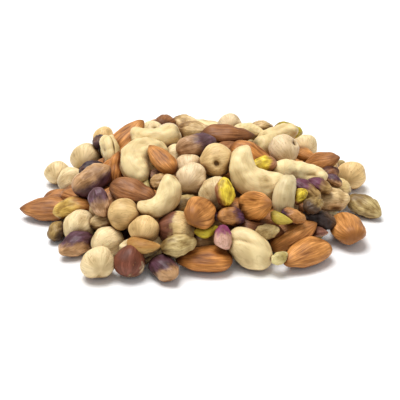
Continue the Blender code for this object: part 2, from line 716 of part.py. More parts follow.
def main():
    """Clears the scene and makes the heap, one closed solid."""
    for thing in list(bpy.data.objects):
        bpy.data.objects.remove(thing)
    nuts = lay_out_heap()
    heap = core_object(nuts)
    bpy.context.scene.collection.objects.link(heap)
    pieces = [
        closed_object(f"nut {number}", nut_points(nut), nut_faces(nut.kind))
        for number, nut in enumerate(nuts)
    ]
    middles = np.array([nut.middle for nut in nuts])
    edges = core_edges(middles)
    pieces += [stem_object(nut, middles) for nut in nuts if needs_stem(nut, middles, edges)]
    fuse(heap, pieces)
    keep_largest_shell(heap)
    heap.data.materials.append(nut_material())


if __name__ == "__main__":
    main()
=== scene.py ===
"""The looks of a loose heap of shelled mixed nuts, as it lies on a pale surface.

The heap is laid out by the same rules as its solid: the nuts that show lie on the sight lines of the
picture, others fill the bare places, and all settle against each other. Each kind of nut then becomes
one piece, its nuts set out from a few modelled forms, over a core in dark painted shade that closes the gaps.
"""

import logging
import math
from dataclasses import dataclass, field
from enum import Enum
from typing import Callable, Iterator, Optional

import bmesh
import bpy
import numpy as np
from mathutils import Matrix, Vector


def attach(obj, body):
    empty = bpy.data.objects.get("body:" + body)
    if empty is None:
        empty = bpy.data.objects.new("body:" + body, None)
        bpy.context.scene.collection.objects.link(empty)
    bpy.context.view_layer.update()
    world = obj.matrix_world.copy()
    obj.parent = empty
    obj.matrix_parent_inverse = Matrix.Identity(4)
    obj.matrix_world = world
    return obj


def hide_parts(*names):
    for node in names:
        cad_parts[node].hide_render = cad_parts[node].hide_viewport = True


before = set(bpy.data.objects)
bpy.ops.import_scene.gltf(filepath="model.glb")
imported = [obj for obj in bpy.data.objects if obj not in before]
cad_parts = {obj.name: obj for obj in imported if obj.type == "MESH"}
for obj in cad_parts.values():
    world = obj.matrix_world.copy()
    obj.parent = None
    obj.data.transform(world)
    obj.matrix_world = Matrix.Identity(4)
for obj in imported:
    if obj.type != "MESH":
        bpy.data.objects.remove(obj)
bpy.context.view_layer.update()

log = logging.getLogger("nut_heap")

Socket = bpy.types.NodeSocket

MM = 0.001
SEED = 41
SUNK_SEED = 7
FORM_SEED = 23
LOOK_SEED = 5
UP = np.array([0.0, 0.0, 1.0])
NODE = "nut_heap"
BODY = "root"

# The hollow attribute counts depth below a nut's smooth surface in this unit, and stays in this range.
HOLLOW_UNIT = 0.3 * MM
HOLLOW_RANGE = (-1, 4)

# The roughness of the heap's core and of paper.
MATT = 0.9

# Most of a noise lies in this range, and nuts lie this far apart in it.
NOISE_RANGE = (0.3, 0.7)
SEED_SPREAD = 37.0
LUMP_SEED_SPREAD = 50.0


def unit(vector: np.ndarray) -> np.ndarray:
    """A vector at length one."""
    return vector / np.linalg.norm(vector)


def linear(hex_colour: str) -> tuple[float, float, float]:
    """Turns an sRGB hex colour to linear.

    Args:
        hex_colour: six hex digits after a hash.

    Returns:
        Red, green and blue, linear, from 0 to 1.
    """
    channels = [int(hex_colour[start:start + 2], 16) / 255 for start in (1, 3, 5)]
    return tuple(c / 12.92 if c <= 0.04045 else ((c + 0.055) / 1.055) ** 2.4 for c in channels)


@dataclass(frozen=True)
class CoatColours:
    """The skin and the bare flesh of a nut, and how much of it the skin covers."""

    skin: str
    flesh: str
    share: float


class Coat(Enum):
    """How a nut is covered: papery skin, bare flesh, or some of each."""

    BRIGHT_ALMOND = CoatColours("#DA9650", "#F0D9AE", 1.0)
    WARM_ALMOND = CoatColours("#CE8842", "#F0D9AE", 1.0)
    PLAIN_ALMOND = CoatColours("#C4803E", "#F0D9AE", 1.0)
    DULL_ALMOND = CoatColours("#B97C44", "#F0D9AE", 1.0)
    DARK_ALMOND = CoatColours("#9C663A", "#F0D9AE", 1.0)
    IVORY_CASHEW = CoatColours("#D9B272", "#F6DFA8", 0.04)
    CREAM_CASHEW = CoatColours("#D4AA68", "#F2DAA2", 0.06)
    STRAW_CASHEW = CoatColours("#CBA05E", "#ECD094", 0.08)
    PALE_CASHEW = CoatColours("#C9B884", "#EAD8A8", 0.1)
    BLANCHED = CoatColours("#C8924E", "#F6DEAC", 0.06)
    ROSY_BLANCHED = CoatColours("#CC9862", "#F0D6AC", 0.06)
    GOLDEN = CoatColours("#B87C3E", "#EECB8E", 0.24)
    PATCHED = CoatColours("#7C4326", "#ECCB90", 0.25)
    HALF_SKINNED = CoatColours("#7E4E38", "#EDD092", 0.5)
    SKINNED = CoatColours("#7A4430", "#EED8AC", 0.8)
    PURPLE = CoatColours("#5E3C48", "#CEA274", 0.56)
    DARK_PURPLE = CoatColours("#402832", "#7E5C4A", 0.85)
    MAUVE = CoatColours("#6E4E58", "#CCA27A", 0.54)
    MAGENTA = CoatColours("#703C50", "#BC985E", 0.58)
    MAROON = CoatColours("#5A362E", "#966444", 0.6)
    CHARRED = CoatColours("#3E302C", "#70563F", 0.66)
    RUSSET = CoatColours("#BE8244", "#DAB45C", 0.5)
    RUSSET_PURPLE = CoatColours("#5A3A54", "#C68C50", 0.4)
    TAN = CoatColours("#9C7044", "#D0A872", 0.42)
    PALE_TAN = CoatColours("#AC885A", "#E2C28C", 0.35)
    OLIVE = CoatColours("#8C7040", "#D0B87E", 0.36)
    DARK_OLIVE = CoatColours("#5C4634", "#AA8C54", 0.52)
    YELLOW = CoatColours("#B8805A", "#F0D440", 0.42)
    GREEN = CoatColours("#9A7A2C", "#CDB834", 0.25)
    LEAF = CoatColours("#8C7A2C", "#C2AC48", 0.3)
    ORANGE = CoatColours("#B07E40", "#DDB26A", 0.4)
    CREAM = CoatColours("#D2B078", "#F0DEB0", 0.3)
    PALE_GREEN = CoatColours("#A89454", "#D8C88C", 0.35)
    PINK = CoatColours("#8E3E66", "#DDB09C", 0.45)
    SALMON = CoatColours("#8C5C48", "#D8AC90", 0.5)


@dataclass(frozen=True)
class Kind:
    """A kind of nut: its size, how round its two ends are, and its bent spine, if it has one."""

    name: str
    length: float
    width: float
    thickness: float
    blunt_end: float
    tip_end: float
    spheres: int
    coats: tuple[Coat, ...]
    bend: float = 0.0
    sweep: float = 0.0

    def plumpness(self, share: np.ndarray) -> np.ndarray:
        """The thickness at a share of the length from the blunt end, against the greatest."""
        fullest = self.blunt_end / (self.blunt_end + self.tip_end)
        most = fullest**self.blunt_end * (1 - fullest) ** self.tip_end
        return share**self.blunt_end * (1 - share) ** self.tip_end / most

    def spine(self, share: np.ndarray) -> tuple[np.ndarray, np.ndarray]:
        """The middle of the section at a share of the length, and the way its width runs there.

        Args:
            share: shares of the length from the blunt end, in an array of any shape.

        Returns:
            Points and unit vectors, each in an array with one more axis than share.
        """
        share = np.asarray(share, dtype=float)
        flat = np.zeros_like(share)
        if not self.bend:
            middles = np.stack([(share - 0.5) * self.length, flat, flat], axis=-1)
            return middles, np.stack([flat, flat + 1, flat], axis=-1)
        angle = (2 * share - 1) * self.sweep
        outward = np.stack([np.sin(angle), np.cos(angle), flat], axis=-1)
        drop = (self.bend + self.width / 2 + self.bend * math.cos(self.sweep)) / 2
        return outward * self.bend - np.array([0.0, drop, 0.0]), outward


ALMOND = Kind(
    "almond", 23 * MM, 13.2 * MM, 8.8 * MM, 0.5, 0.75, 3,
    (Coat.BRIGHT_ALMOND, Coat.WARM_ALMOND, Coat.PLAIN_ALMOND, Coat.DULL_ALMOND),
)
CASHEW = Kind(
    "cashew", 25 * MM, 12.0 * MM, 11.0 * MM, 0.36, 0.5, 5,
    (Coat.IVORY_CASHEW, Coat.CREAM_CASHEW, Coat.STRAW_CASHEW),
    bend=8.2 * MM, sweep=math.radians(100),
)
CURL = Kind("curl", 21 * MM, 15 * MM, 12.5 * MM, 0.42, 0.46, 3, (Coat.IVORY_CASHEW,))
HAZELNUT = Kind(
    "hazelnut", 13.8 * MM, 13.6 * MM, 13.2 * MM, 0.5, 0.56, 1,
    (Coat.BLANCHED, Coat.ROSY_BLANCHED, Coat.GOLDEN, Coat.BLANCHED, Coat.GOLDEN, Coat.HALF_SKINNED),
)
PISTACHIO = Kind(
    "pistachio", 16 * MM, 10 * MM, 9 * MM, 0.5, 0.62, 3,
    (Coat.PURPLE, Coat.MAUVE, Coat.TAN, Coat.OLIVE, Coat.PALE_TAN, Coat.RUSSET, Coat.MAGENTA),
)
SLIVER = Kind("sliver", 10 * MM, 5.2 * MM, 3.4 * MM, 0.5, 0.7, 3, (Coat.GREEN, Coat.LEAF, Coat.YELLOW))
CHIP = Kind("chip", 10 * MM, 7.0 * MM, 5.0 * MM, 0.4, 0.5, 1, (Coat.CREAM, Coat.PALE_GREEN, Coat.SALMON))


@dataclass(frozen=True)
class Seen:
    """A nut that shows in the picture: the pixel of its middle, how it lies there and how it looks.

    turn is the picture angle of its tip in degrees. lift is how far it stands out of the heap, in
    millimetres. lean is 0 where it lies flat on the slope and 1 where its broad side faces the viewer.
    dip raises its tip out of that plane, and roll turns it about its length, both in degrees. bare is
    the picture angle towards which its flesh shows, shade is how light it is from -1 to 1, and form
    picks one of its kind's forms.
    """

    kind: Kind
    across: float
    down: float
    turn: float = 0
    lift: float = 0
    lean: float = 0
    dip: float = 0
    roll: float = 0
    size: float = 1
    coat: Optional[Coat] = None
    bare: Optional[float] = None
    shade: float = 0
    form: Optional[int] = None


LEFT_SIDE = [
    Seen(ALMOND, 48, 210, turn=180, lift=1, coat=Coat.DULL_ALMOND),
    Seen(ALMOND, 62, 197, turn=8, lift=-3, size=0.85, coat=Coat.DULL_ALMOND),
    Seen(ALMOND, 76, 197, turn=-15, lift=-3, size=0.9, coat=Coat.DULL_ALMOND),
    Seen(PISTACHIO, 72, 209, turn=190, lift=2, lean=0.4, coat=Coat.RUSSET, bare=190),
    Seen(PISTACHIO, 58.5, 227.5, turn=60, lift=-1, size=0.8, coat=Coat.DARK_OLIVE, bare=170),
    Seen(HAZELNUT, 80, 220, turn=60, size=0.97, coat=Coat.BLANCHED, shade=-0.2),
    Seen(PISTACHIO, 76, 243, turn=205, lift=1, coat=Coat.PURPLE, bare=-100, shade=0.6),
    Seen(HAZELNUT, 57.5, 173, turn=100, size=0.84, coat=Coat.BLANCHED, shade=-0.2),
    Seen(HAZELNUT, 71, 179, turn=20, size=0.95, coat=Coat.BLANCHED, shade=-0.2),
    Seen(HAZELNUT, 87, 157, turn=80, lift=2, size=1.1, coat=Coat.BLANCHED, shade=-0.3),
    Seen(PISTACHIO, 91, 168, turn=20, lift=-3, size=0.7, coat=Coat.DARK_PURPLE, form=0),
    Seen(PISTACHIO, 94, 185.5, turn=35, lift=3, lean=0.8, size=1.2, coat=Coat.PURPLE, bare=120, shade=-0.2),
    Seen(PISTACHIO, 101, 203, turn=-70, lift=2, lean=0.7, size=0.8, coat=Coat.MAUVE, bare=-70, shade=0.3),
    Seen(ALMOND, 113, 195, turn=40, lift=-2, coat=Coat.DULL_ALMOND),
    Seen(ALMOND, 117, 172, turn=85, lift=-4, lean=0.8, roll=80, size=0.8, coat=Coat.WARM_ALMOND),
    Seen(PISTACHIO, 104, 221, turn=10, lift=-2, size=0.85, coat=Coat.PALE_TAN, bare=90),
]
FRONT_SIDE = [
    Seen(HAZELNUT, 107, 240, turn=30, size=0.95, coat=Coat.BLANCHED, shade=0.6),
    Seen(HAZELNUT, 98, 262.5, turn=120, size=0.95, coat=Coat.BLANCHED, shade=-0.1),
    Seen(HAZELNUT, 130.5, 262.5, turn=80, lean=0.8, size=0.87, coat=Coat.SKINNED, bare=-40, shade=0.5),
    Seen(CHIP, 126, 246.5, turn=30, size=0.8, coat=Coat.CREAM),
    Seen(PISTACHIO, 122, 231, turn=80, lift=-6, size=0.8, coat=Coat.DARK_PURPLE),
    Seen(PISTACHIO, 166, 264.5, turn=-35, lift=1, coat=Coat.PURPLE, bare=-60),
    Seen(ALMOND, 203, 261, turn=180, coat=Coat.WARM_ALMOND, shade=0.7),
    Seen(PISTACHIO, 177, 247, turn=12, lift=2, lean=0.5, size=0.9, coat=Coat.OLIVE, bare=0),
    Seen(SLIVER, 146, 245, turn=-8, lift=1, size=1.35, coat=Coat.ORANGE),
    Seen(HAZELNUT, 142.6, 228.5, turn=75, lift=1, size=0.87, coat=Coat.GOLDEN, bare=110),
    Seen(HAZELNUT, 175, 229, turn=180, lift=2, lean=0.6, size=1.08, coat=Coat.HALF_SKINNED, bare=0, shade=0.5),
    Seen(HAZELNUT, 126.5, 214.5, lift=1, lean=0.6, size=0.93, coat=Coat.GOLDEN, shade=-0.8),
    Seen(SLIVER, 207, 230, turn=15, lift=2, coat=Coat.GREEN, shade=1),
    Seen(CHIP, 223.5, 238.5, turn=90, lift=1, lean=0.8, size=1.1, coat=Coat.PINK, bare=-90),
    Seen(PISTACHIO, 206, 243, turn=5, lift=-2, coat=Coat.TAN),
    Seen(CURL, 250, 247, turn=-40, lift=2, lean=0.5, size=0.97, coat=Coat.IVORY_CASHEW, shade=-0.3, form=0),
    Seen(CHIP, 279, 257, turn=40, lift=1, size=0.8, coat=Coat.PALE_GREEN, shade=0.4),
    Seen(ALMOND, 294, 236, turn=15, lean=0.3, dip=25, size=0.95, coat=Coat.BRIGHT_ALMOND, shade=0.8),
    Seen(ALMOND, 305, 249, turn=200, lift=4, coat=Coat.BRIGHT_ALMOND),
    Seen(ALMOND, 345, 228.5, turn=100, lean=0.9, dip=-62, size=1.1, coat=Coat.BRIGHT_ALMOND, shade=-0.1),
    Seen(CHIP, 267, 231, turn=20, coat=Coat.OLIVE),
    Seen(ALMOND, 257, 228, turn=-10, lift=-4, coat=Coat.DARK_ALMOND, shade=-1),
    Seen(CHIP, 319, 232, turn=10, lift=1, size=0.8, coat=Coat.SALMON, shade=0.9),
]
MIDDLE = [
    Seen(CASHEW, 161.5, 202, turn=-135, lift=3, lean=0.85, size=0.82, coat=Coat.IVORY_CASHEW, shade=-0.2),
    Seen(ALMOND, 133.5, 194.5, turn=-20, lift=1, lean=0.3, size=0.95, coat=Coat.DARK_ALMOND, shade=0.3),
    Seen(CASHEW, 141, 158, turn=62, lift=2, lean=0.75, dip=-30, size=1.1, coat=Coat.CREAM_CASHEW),
    Seen(ALMOND, 162, 159, turn=130, lift=4, lean=0.75, dip=-15, roll=50, size=0.82, coat=Coat.BRIGHT_ALMOND),
    Seen(PISTACHIO, 165, 182, turn=5, lift=1, size=0.75, coat=Coat.TAN, bare=90, shade=-0.9, form=5),
    Seen(HAZELNUT, 194, 180, turn=60, lift=3, coat=Coat.ROSY_BLANCHED, shade=0.2),
    Seen(HAZELNUT, 189, 167, turn=90, lift=-1, coat=Coat.ROSY_BLANCHED, shade=-0.5),
    Seen(PISTACHIO, 195, 195, lift=-2, coat=Coat.OLIVE),
    Seen(PISTACHIO, 182, 207, turn=20, lift=-2, coat=Coat.OLIVE),
    Seen(HAZELNUT, 213, 192, turn=100, lift=3, size=1.05, coat=Coat.BLANCHED, shade=-0.6),
    Seen(PISTACHIO, 224, 193, turn=95, lift=3, lean=1, size=0.8, coat=Coat.YELLOW, bare=15, shade=0.3, form=0),
    Seen(ALMOND, 203.5, 211, turn=40, lift=2, lean=1, dip=-62, size=0.95, coat=Coat.BRIGHT_ALMOND, shade=-0.1),
    Seen(ALMOND, 255, 208, turn=10, lift=3, lean=1, dip=62, size=0.95, coat=Coat.BRIGHT_ALMOND, shade=0.5),
    Seen(PISTACHIO, 229, 217, turn=190, lean=0.5, dip=30, size=0.8, coat=Coat.RUSSET_PURPLE, bare=190),
    Seen(CASHEW, 254, 176, turn=140, lift=5, lean=0.9, size=1.12, coat=Coat.IVORY_CASHEW),
    Seen(PISTACHIO, 263.5, 166, turn=195, lift=1, lean=0.5, size=0.72, coat=Coat.YELLOW, bare=180, shade=0.8),
    Seen(ALMOND, 254, 158, turn=-28, lift=2, lean=0.5, coat=Coat.WARM_ALMOND, shade=-0.1),
    Seen(HAZELNUT, 213.7, 162, turn=-170, lift=3, lean=0.5, size=1.04, coat=Coat.PATCHED, bare=120, form=5),
    Seen(ALMOND, 229, 150, turn=20, lift=-2, coat=Coat.DARK_ALMOND),
    Seen(CASHEW, 298, 173, turn=-8, lift=3, lean=0.6, roll=-65, coat=Coat.CREAM_CASHEW, shade=0.5),
    Seen(CASHEW, 283, 196, turn=80, lift=1, lean=0.9, roll=65, size=0.78, coat=Coat.PALE_CASHEW, shade=-0.5),
    Seen(PISTACHIO, 299, 196.5, turn=45, lift=-1, lean=0.5, size=0.55, coat=Coat.YELLOW, bare=60, form=0),
    Seen(PISTACHIO, 306, 191, turn=-28, lift=2, lean=0.5, size=0.85, coat=Coat.MAGENTA, bare=-20),
    Seen(PISTACHIO, 319, 186, turn=-20, lift=2, size=0.72, coat=Coat.MAGENTA, bare=-30, shade=0.6),
    Seen(PISTACHIO, 293, 216, turn=-20, lift=2, size=0.65, coat=Coat.RUSSET_PURPLE, bare=20, shade=-0.2),
    Seen(SLIVER, 281, 218, turn=-25, lift=3, coat=Coat.LEAF, shade=0.2),
    Seen(PISTACHIO, 312, 206, turn=30, lift=2, size=0.7, coat=Coat.DARK_OLIVE, shade=-0.2, form=5),
    Seen(PISTACHIO, 320, 220.5, turn=-15, lift=3, lean=0.3, size=0.9, coat=Coat.CHARRED, shade=0.9, form=5),
    Seen(PISTACHIO, 332, 199, lift=2, lean=0.3, size=1.1, coat=Coat.PALE_TAN, bare=30, shade=0.9),
]
BACK_SIDE = [
    Seen(HAZELNUT, 172, 135, turn=90, lift=3, size=0.95, coat=Coat.ROSY_BLANCHED),
    Seen(ALMOND, 164, 122, turn=80, size=0.8, coat=Coat.DARK_ALMOND),
    Seen(HAZELNUT, 152, 133, turn=-140, lift=3, lean=0.3, size=0.85, coat=Coat.BLANCHED, form=5),
    Seen(CASHEW, 156, 143, turn=180, lift=1, lean=0.3, size=0.92, coat=Coat.CREAM_CASHEW, shade=-0.4),
    Seen(HAZELNUT, 175, 154, turn=10, lift=-1, coat=Coat.BLANCHED),
    Seen(ALMOND, 127, 140, turn=50, lift=3, lean=0.7, coat=Coat.BRIGHT_ALMOND),
    Seen(PISTACHIO, 138, 127, turn=10, size=0.5, coat=Coat.OLIVE, form=1),
    Seen(HAZELNUT, 104, 136, turn=80, size=0.84, coat=Coat.GOLDEN),
    Seen(PISTACHIO, 99, 143, turn=90, lift=2, size=0.7, coat=Coat.DARK_PURPLE, shade=0.8),
    Seen(CASHEW, 111, 151.5, turn=-75, lift=1, lean=0.6, roll=60, size=0.68, coat=Coat.CREAM_CASHEW),
    Seen(PISTACHIO, 193, 131, turn=-5, lift=2, size=1.1, coat=Coat.PALE_TAN, bare=-60, shade=0.2),
    Seen(PISTACHIO, 197, 150, turn=15, lift=4, lean=0.6, size=1.1, coat=Coat.MAUVE, bare=200, shade=-0.5),
    Seen(ALMOND, 229, 136, lift=3, size=1.05, coat=Coat.DARK_ALMOND),
    Seen(HAZELNUT, 229, 125, turn=90, lift=1, size=0.85, coat=Coat.ROSY_BLANCHED),
    Seen(CASHEW, 250, 132, lift=-7, size=0.6, coat=Coat.CREAM_CASHEW),
    Seen(PISTACHIO, 262, 129, turn=5, size=0.8, coat=Coat.PALE_TAN),
    Seen(CASHEW, 272, 138, turn=30, lift=2, lean=0.6, roll=-60, coat=Coat.CREAM_CASHEW, shade=-0.4),
    Seen(HAZELNUT, 283.5, 150.5, turn=-60, lift=4, lean=0.5, coat=Coat.ROSY_BLANCHED, bare=200, form=5),
    Seen(PISTACHIO, 288, 131, turn=-10, lift=1, size=0.9, coat=Coat.GREEN, bare=-20),
    Seen(PISTACHIO, 293, 138, turn=60, lift=-2, coat=Coat.OLIVE),
    Seen(HAZELNUT, 304.5, 146, turn=90, lift=1, size=0.95, coat=Coat.BLANCHED, shade=-0.1),
    Seen(ALMOND, 322, 163, turn=-15, lift=1, lean=0.5, dip=50, size=0.85, coat=Coat.DULL_ALMOND),
    Seen(PISTACHIO, 330, 173, turn=10, lift=-3, size=0.7, coat=Coat.MAROON),
    Seen(PISTACHIO, 340, 167, turn=60, lift=-1, size=0.7, coat=Coat.OLIVE),
    Seen(HAZELNUT, 351, 175, turn=45, coat=Coat.GOLDEN, shade=0.4),
    Seen(PISTACHIO, 333, 181, turn=-30, size=0.55, coat=Coat.PURPLE, bare=-90),
    Seen(PISTACHIO, 363, 204.5, turn=-30, lean=0.3, size=1.05, coat=Coat.OLIVE, bare=-60),
]


@dataclass
class Nut:
    """One nut as it lies: its kind, its size against that kind's, its middle, its turning and its look."""

    kind: Kind
    size: float
    middle: np.ndarray
    turning: np.ndarray
    spot: Optional[Seen] = None
    sunk: bool = False

    @property
    def seen(self) -> bool:
        """Whether the picture shows it."""
        return self.spot is not None

    def reach_along(self, direction: np.ndarray) -> float:
        """Half of its extent along a direction, read as that of an ellipsoid."""
        kind = self.kind
        depth = kind.width if not kind.bend else HeapRules.bent_depth * kind.length
        halves = np.array([kind.length, depth, kind.thickness]) / 2
        return self.size * np.linalg.norm(halves * (direction @ self.turning))


class HeapRules:
    """The numbers by which the solid of the heap is laid out, repeated here."""

    height = 30 * MM
    reach = [reach * MM for reach in (77, 79, 75, 78, 75, 80, 68, 76)]
    top_flatness = 2.7
    normal_step = 4 * MM
    full_slope = 0.75
    slope_rises_over = 20 * MM
    flat_share = 0.35
    bent_depth = 0.66
    unseen_inset = 4 * MM
    fill = ((CASHEW, 8), (ALMOND, 11), (HAZELNUT, 11), (PISTACHIO, 12))
    fill_darts = 3000
    fill_crowding = 0.66
    fill_inset = 7 * MM
    fill_dip = 14
    fill_roll = 25
    fill_sizes = (0.94, 1.06)
    fill_heading_rise = 0.3
    hides_within = 0.7
    shows_above = 0.7
    shadow_step = 4 * MM
    shadow_reach = 60 * MM
    crowded_within = 4 * MM
    clear_beyond = 30 * MM


@dataclass(frozen=True)
class PictureView:
    """The view in which the nuts were placed: from the front, -Y, and looking down."""

    pixels: int = 400
    slope: float = math.radians(27)
    distance: float = 400 * MM
    lens: float = 80
    sensor: float = 36
    aim: tuple[float, float, float] = (-0.5 * MM, 0.3 * MM, 0.0)
    search: tuple[float, float] = (0.6, 1.4)
    search_step: float = 0.5 * MM
    search_inset: float = 5 * MM
    least_facing: float = 0.35

    @property
    def to_right(self) -> np.ndarray:
        """The way that runs right in the picture."""
        return np.array([1.0, 0.0, 0.0])

    @property
    def to_viewer(self) -> np.ndarray:
        """The way from the heap to the viewer."""
        return np.array([0.0, -math.cos(self.slope), math.sin(self.slope)])

    @property
    def up(self) -> np.ndarray:
        """The way that runs up in the picture."""
        return np.array([0.0, math.sin(self.slope), math.cos(self.slope)])

    @property
    def eye(self) -> np.ndarray:
        """Where the viewer's eye is."""
        return np.array(self.aim) + self.to_viewer * self.distance

    def way(self, degrees: float) -> np.ndarray:
        """The direction in the picture's plane at a picture angle."""
        angle = math.radians(degrees)
        return self.to_right * math.cos(angle) + self.up * math.sin(angle)

    def sight(self, across: float, down: float) -> np.ndarray:
        """The unit vector from the eye through a pixel."""
        middle = self.pixels / 2
        focal = self.pixels * self.lens / self.sensor
        line = self.to_right * (across - middle) + self.up * (middle - down) - self.to_viewer * focal
        return unit(line)

    def camera(self) -> bpy.types.Object:
        """Makes the camera at the eye."""
        data = bpy.data.cameras.new("picture view")
        data.lens = self.lens
        data.sensor_width = self.sensor
        data.clip_start = 0.02
        camera = bpy.data.objects.new("picture view", data)
        camera.location = self.eye
        camera.rotation_euler = Vector(-self.to_viewer).to_track_quat("-Z", "Y").to_euler()
        bpy.context.scene.collection.objects.link(camera)
        bpy.context.scene.camera = camera
        return camera


VIEW = PictureView()


class HeapShape:
    """The outside of the heap: how far it reaches and how high it stands."""

    def reach_at(self, x: float, y: float) -> float:
        """The heap's reach towards a point, eased from one of the eight directions to the next."""
        eighths = (math.atan2(y, x) / (math.pi / 4)) % 8
        low = int(eighths) % 8
        ease = (1 - math.cos(math.pi * (eighths - int(eighths)))) / 2
        return HeapRules.reach[low] * (1 - ease) + HeapRules.reach[(low + 1) % 8] * ease

    def top(self, x: float, y: float) -> float:
        """The height of the heap's outside over a point of the floor."""
        share = math.hypot(x, y) / self.reach_at(x, y)
        return HeapRules.height * max(0.0, 1 - share**HeapRules.top_flatness)

    def normal(self, x: float, y: float) -> np.ndarray:
        """The way the outside faces, nearer to straight up over the low edge."""
        step = HeapRules.normal_step
        fall_x = (self.top(x + step, y) - self.top(x - step, y)) / (2 * step)
        fall_y = (self.top(x, y + step) - self.top(x, y - step)) / (2 * step)
        rise = self.top(x, y) / HeapRules.slope_rises_over - HeapRules.flat_share
        steepness = HeapRules.full_slope * min(1.0, max(0.0, rise))
        return unit(np.array([-fall_x * steepness, -fall_y * steepness, 1.0]))


def turning_of(normal: np.ndarray, along: np.ndarray, dip: float, roll: float) -> np.ndarray:
    """The axes of a nut.

    Args:
        normal: the way its broad side faces before it is rolled.
        along: the way its tip points before it is raised.
        dip: degrees by which its tip is raised.
        roll: degrees by which it is turned about its length.

    Returns:
        A matrix whose columns are its length, its width and its thickness.
    """
    across = np.cross(normal, along)
    raise_tip = math.radians(dip)
    length = along * math.cos(raise_tip) + normal * math.sin(raise_tip)
    upper = normal * math.cos(raise_tip) - along * math.sin(raise_tip)
    rolled = math.radians(roll)
    width = across * math.cos(rolled) + upper * math.sin(rolled)
    thickness = upper * math.cos(rolled) - across * math.sin(rolled)
    return np.column_stack([length, width, thickness])


@dataclass
class Settling:
    """Pushes nuts clear of each other, holding those that show to their sight lines."""

    rounds: int = 160
    free_rounds: int = 5
    seen_weight: float = 8.0
    push: float = 1.5
    floor_catch: float = 3.5 * MM
    floor_pull: float = 0.2
    hold_across: float = 0.2
    hold_depth: float = 0.012
    hold_unseen: float = 0.06
    give: float = 0.96
    neighbours_within: float = 42 * MM
    outer_sphere: float = 0.8
    side_reach: float = 0.9
    round_within: float = 0.6 * MM
    least_fullness: float = 0.1

    def spheres_in(self, nut: Nut) -> np.ndarray:
        """Spheres that fill a nut, as rows of x, y, z and radius about its middle."""
        kind = nut.kind
        rows = []
        half_length, half_width, half_thickness = kind.length / 2, kind.width / 2, kind.thickness / 2
        outer = self.outer_sphere
        stations = np.linspace(-outer, outer, kind.spheres) if kind.spheres > 1 else [0.0]
        for station in stations:
            if kind.bend:
                share = (station + 1) / 2
                rows.append([*kind.spine(share)[0], half_thickness * kind.plumpness(share)])
                continue
            x = station * (half_length**2 - half_thickness**2) / half_length
            fullness = max(self.least_fullness, 1 - (x / half_length) ** 2)
            radius = half_thickness * math.sqrt(fullness)
            aside = self.side_reach * max(0.0, half_width * math.sqrt(fullness) - radius)
            if aside < self.round_within:
                rows.append([x, 0.0, 0.0, (radius + half_width * radius / half_thickness) / 2])
            else:
                rows.append([x, aside, 0.0, radius])
                rows.append([x, -aside, 0.0, radius])
        rows = np.array(rows) * nut.size
        return np.column_stack([rows[:, :3] @ nut.turning.T, rows[:, 3]])

    def settle(self, nuts: list[Nut], still: int = 0) -> None:
        """Moves the nuts to their settled places.

        Args:
            nuts: all the nuts.
            still: how many of the first of them stay where they are.
        """
        sets = [self.spheres_in(nut) for nut in nuts]
        owner = np.repeat(np.arange(len(nuts)), [len(rows) for rows in sets])
        offsets, radii = np.vstack(sets)[:, :3], np.vstack(sets)[:, 3]
        home = np.array([nut.middle for nut in nuts])
        seen = np.array([nut.seen for nut in nuts])
        weight = np.where(seen, self.seen_weight, 1.0)
        depth_hold = np.where(seen, self.hold_depth, self.hold_unseen)[:, None]
        across_hold = np.where(seen, self.hold_across, self.hold_unseen)[:, None]
        first, second = np.triu_indices(len(owner), 1)
        gaps = np.linalg.norm(home[owner[first]] - home[owner[second]], axis=1)
        apart = (gaps < self.neighbours_within) & (owner[first] != owner[second]) & (owner[second] >= still)
        first, second = first[apart], second[apart]
        touching = self.give * (radii[first] + radii[second])
        share = weight[owner[second]] / (weight[owner[first]] + weight[owner[second]])
        low = np.array([(rows[:, 2] - rows[:, 3]).min() for rows in sets])
        places = home.copy()
        for round_number in range(self.rounds):
            held = 1.0 if round_number < self.rounds - self.free_rounds else 0.0
            centres = places[owner] + offsets
            between = centres[first] - centres[second]
            distance = np.maximum(np.linalg.norm(between, axis=1), 1e-6)
            overlap = np.maximum(0.0, touching - distance)
            hit = overlap > 0
            push = between[hit] / distance[hit, None] * overlap[hit, None]
            moves, counts = np.zeros_like(places), np.zeros(len(nuts))
            np.add.at(moves, owner[first[hit]], push * share[hit, None])
            np.add.at(moves, owner[second[hit]], -push * (1 - share[hit, None]))
            np.add.at(counts, owner[first[hit]], 1)
            np.add.at(counts, owner[second[hit]], 1)
            places += moves / np.maximum(counts, 1)[:, None] * self.push
            back = home - places
            depth = (back @ VIEW.to_viewer)[:, None] * VIEW.to_viewer
            places += held * (depth * depth_hold + (back - depth) * across_hold)
            gap = places[:, 2] + low
            fall = np.where(gap < self.floor_catch, self.floor_pull * gap, 0.0)
            places[:, 2] -= np.where(gap < 0, gap, fall)
            places[:still] = home[:still]
        for nut, place in zip(nuts[still:], places[still:]):
            nut.middle = np.round(place, 5)


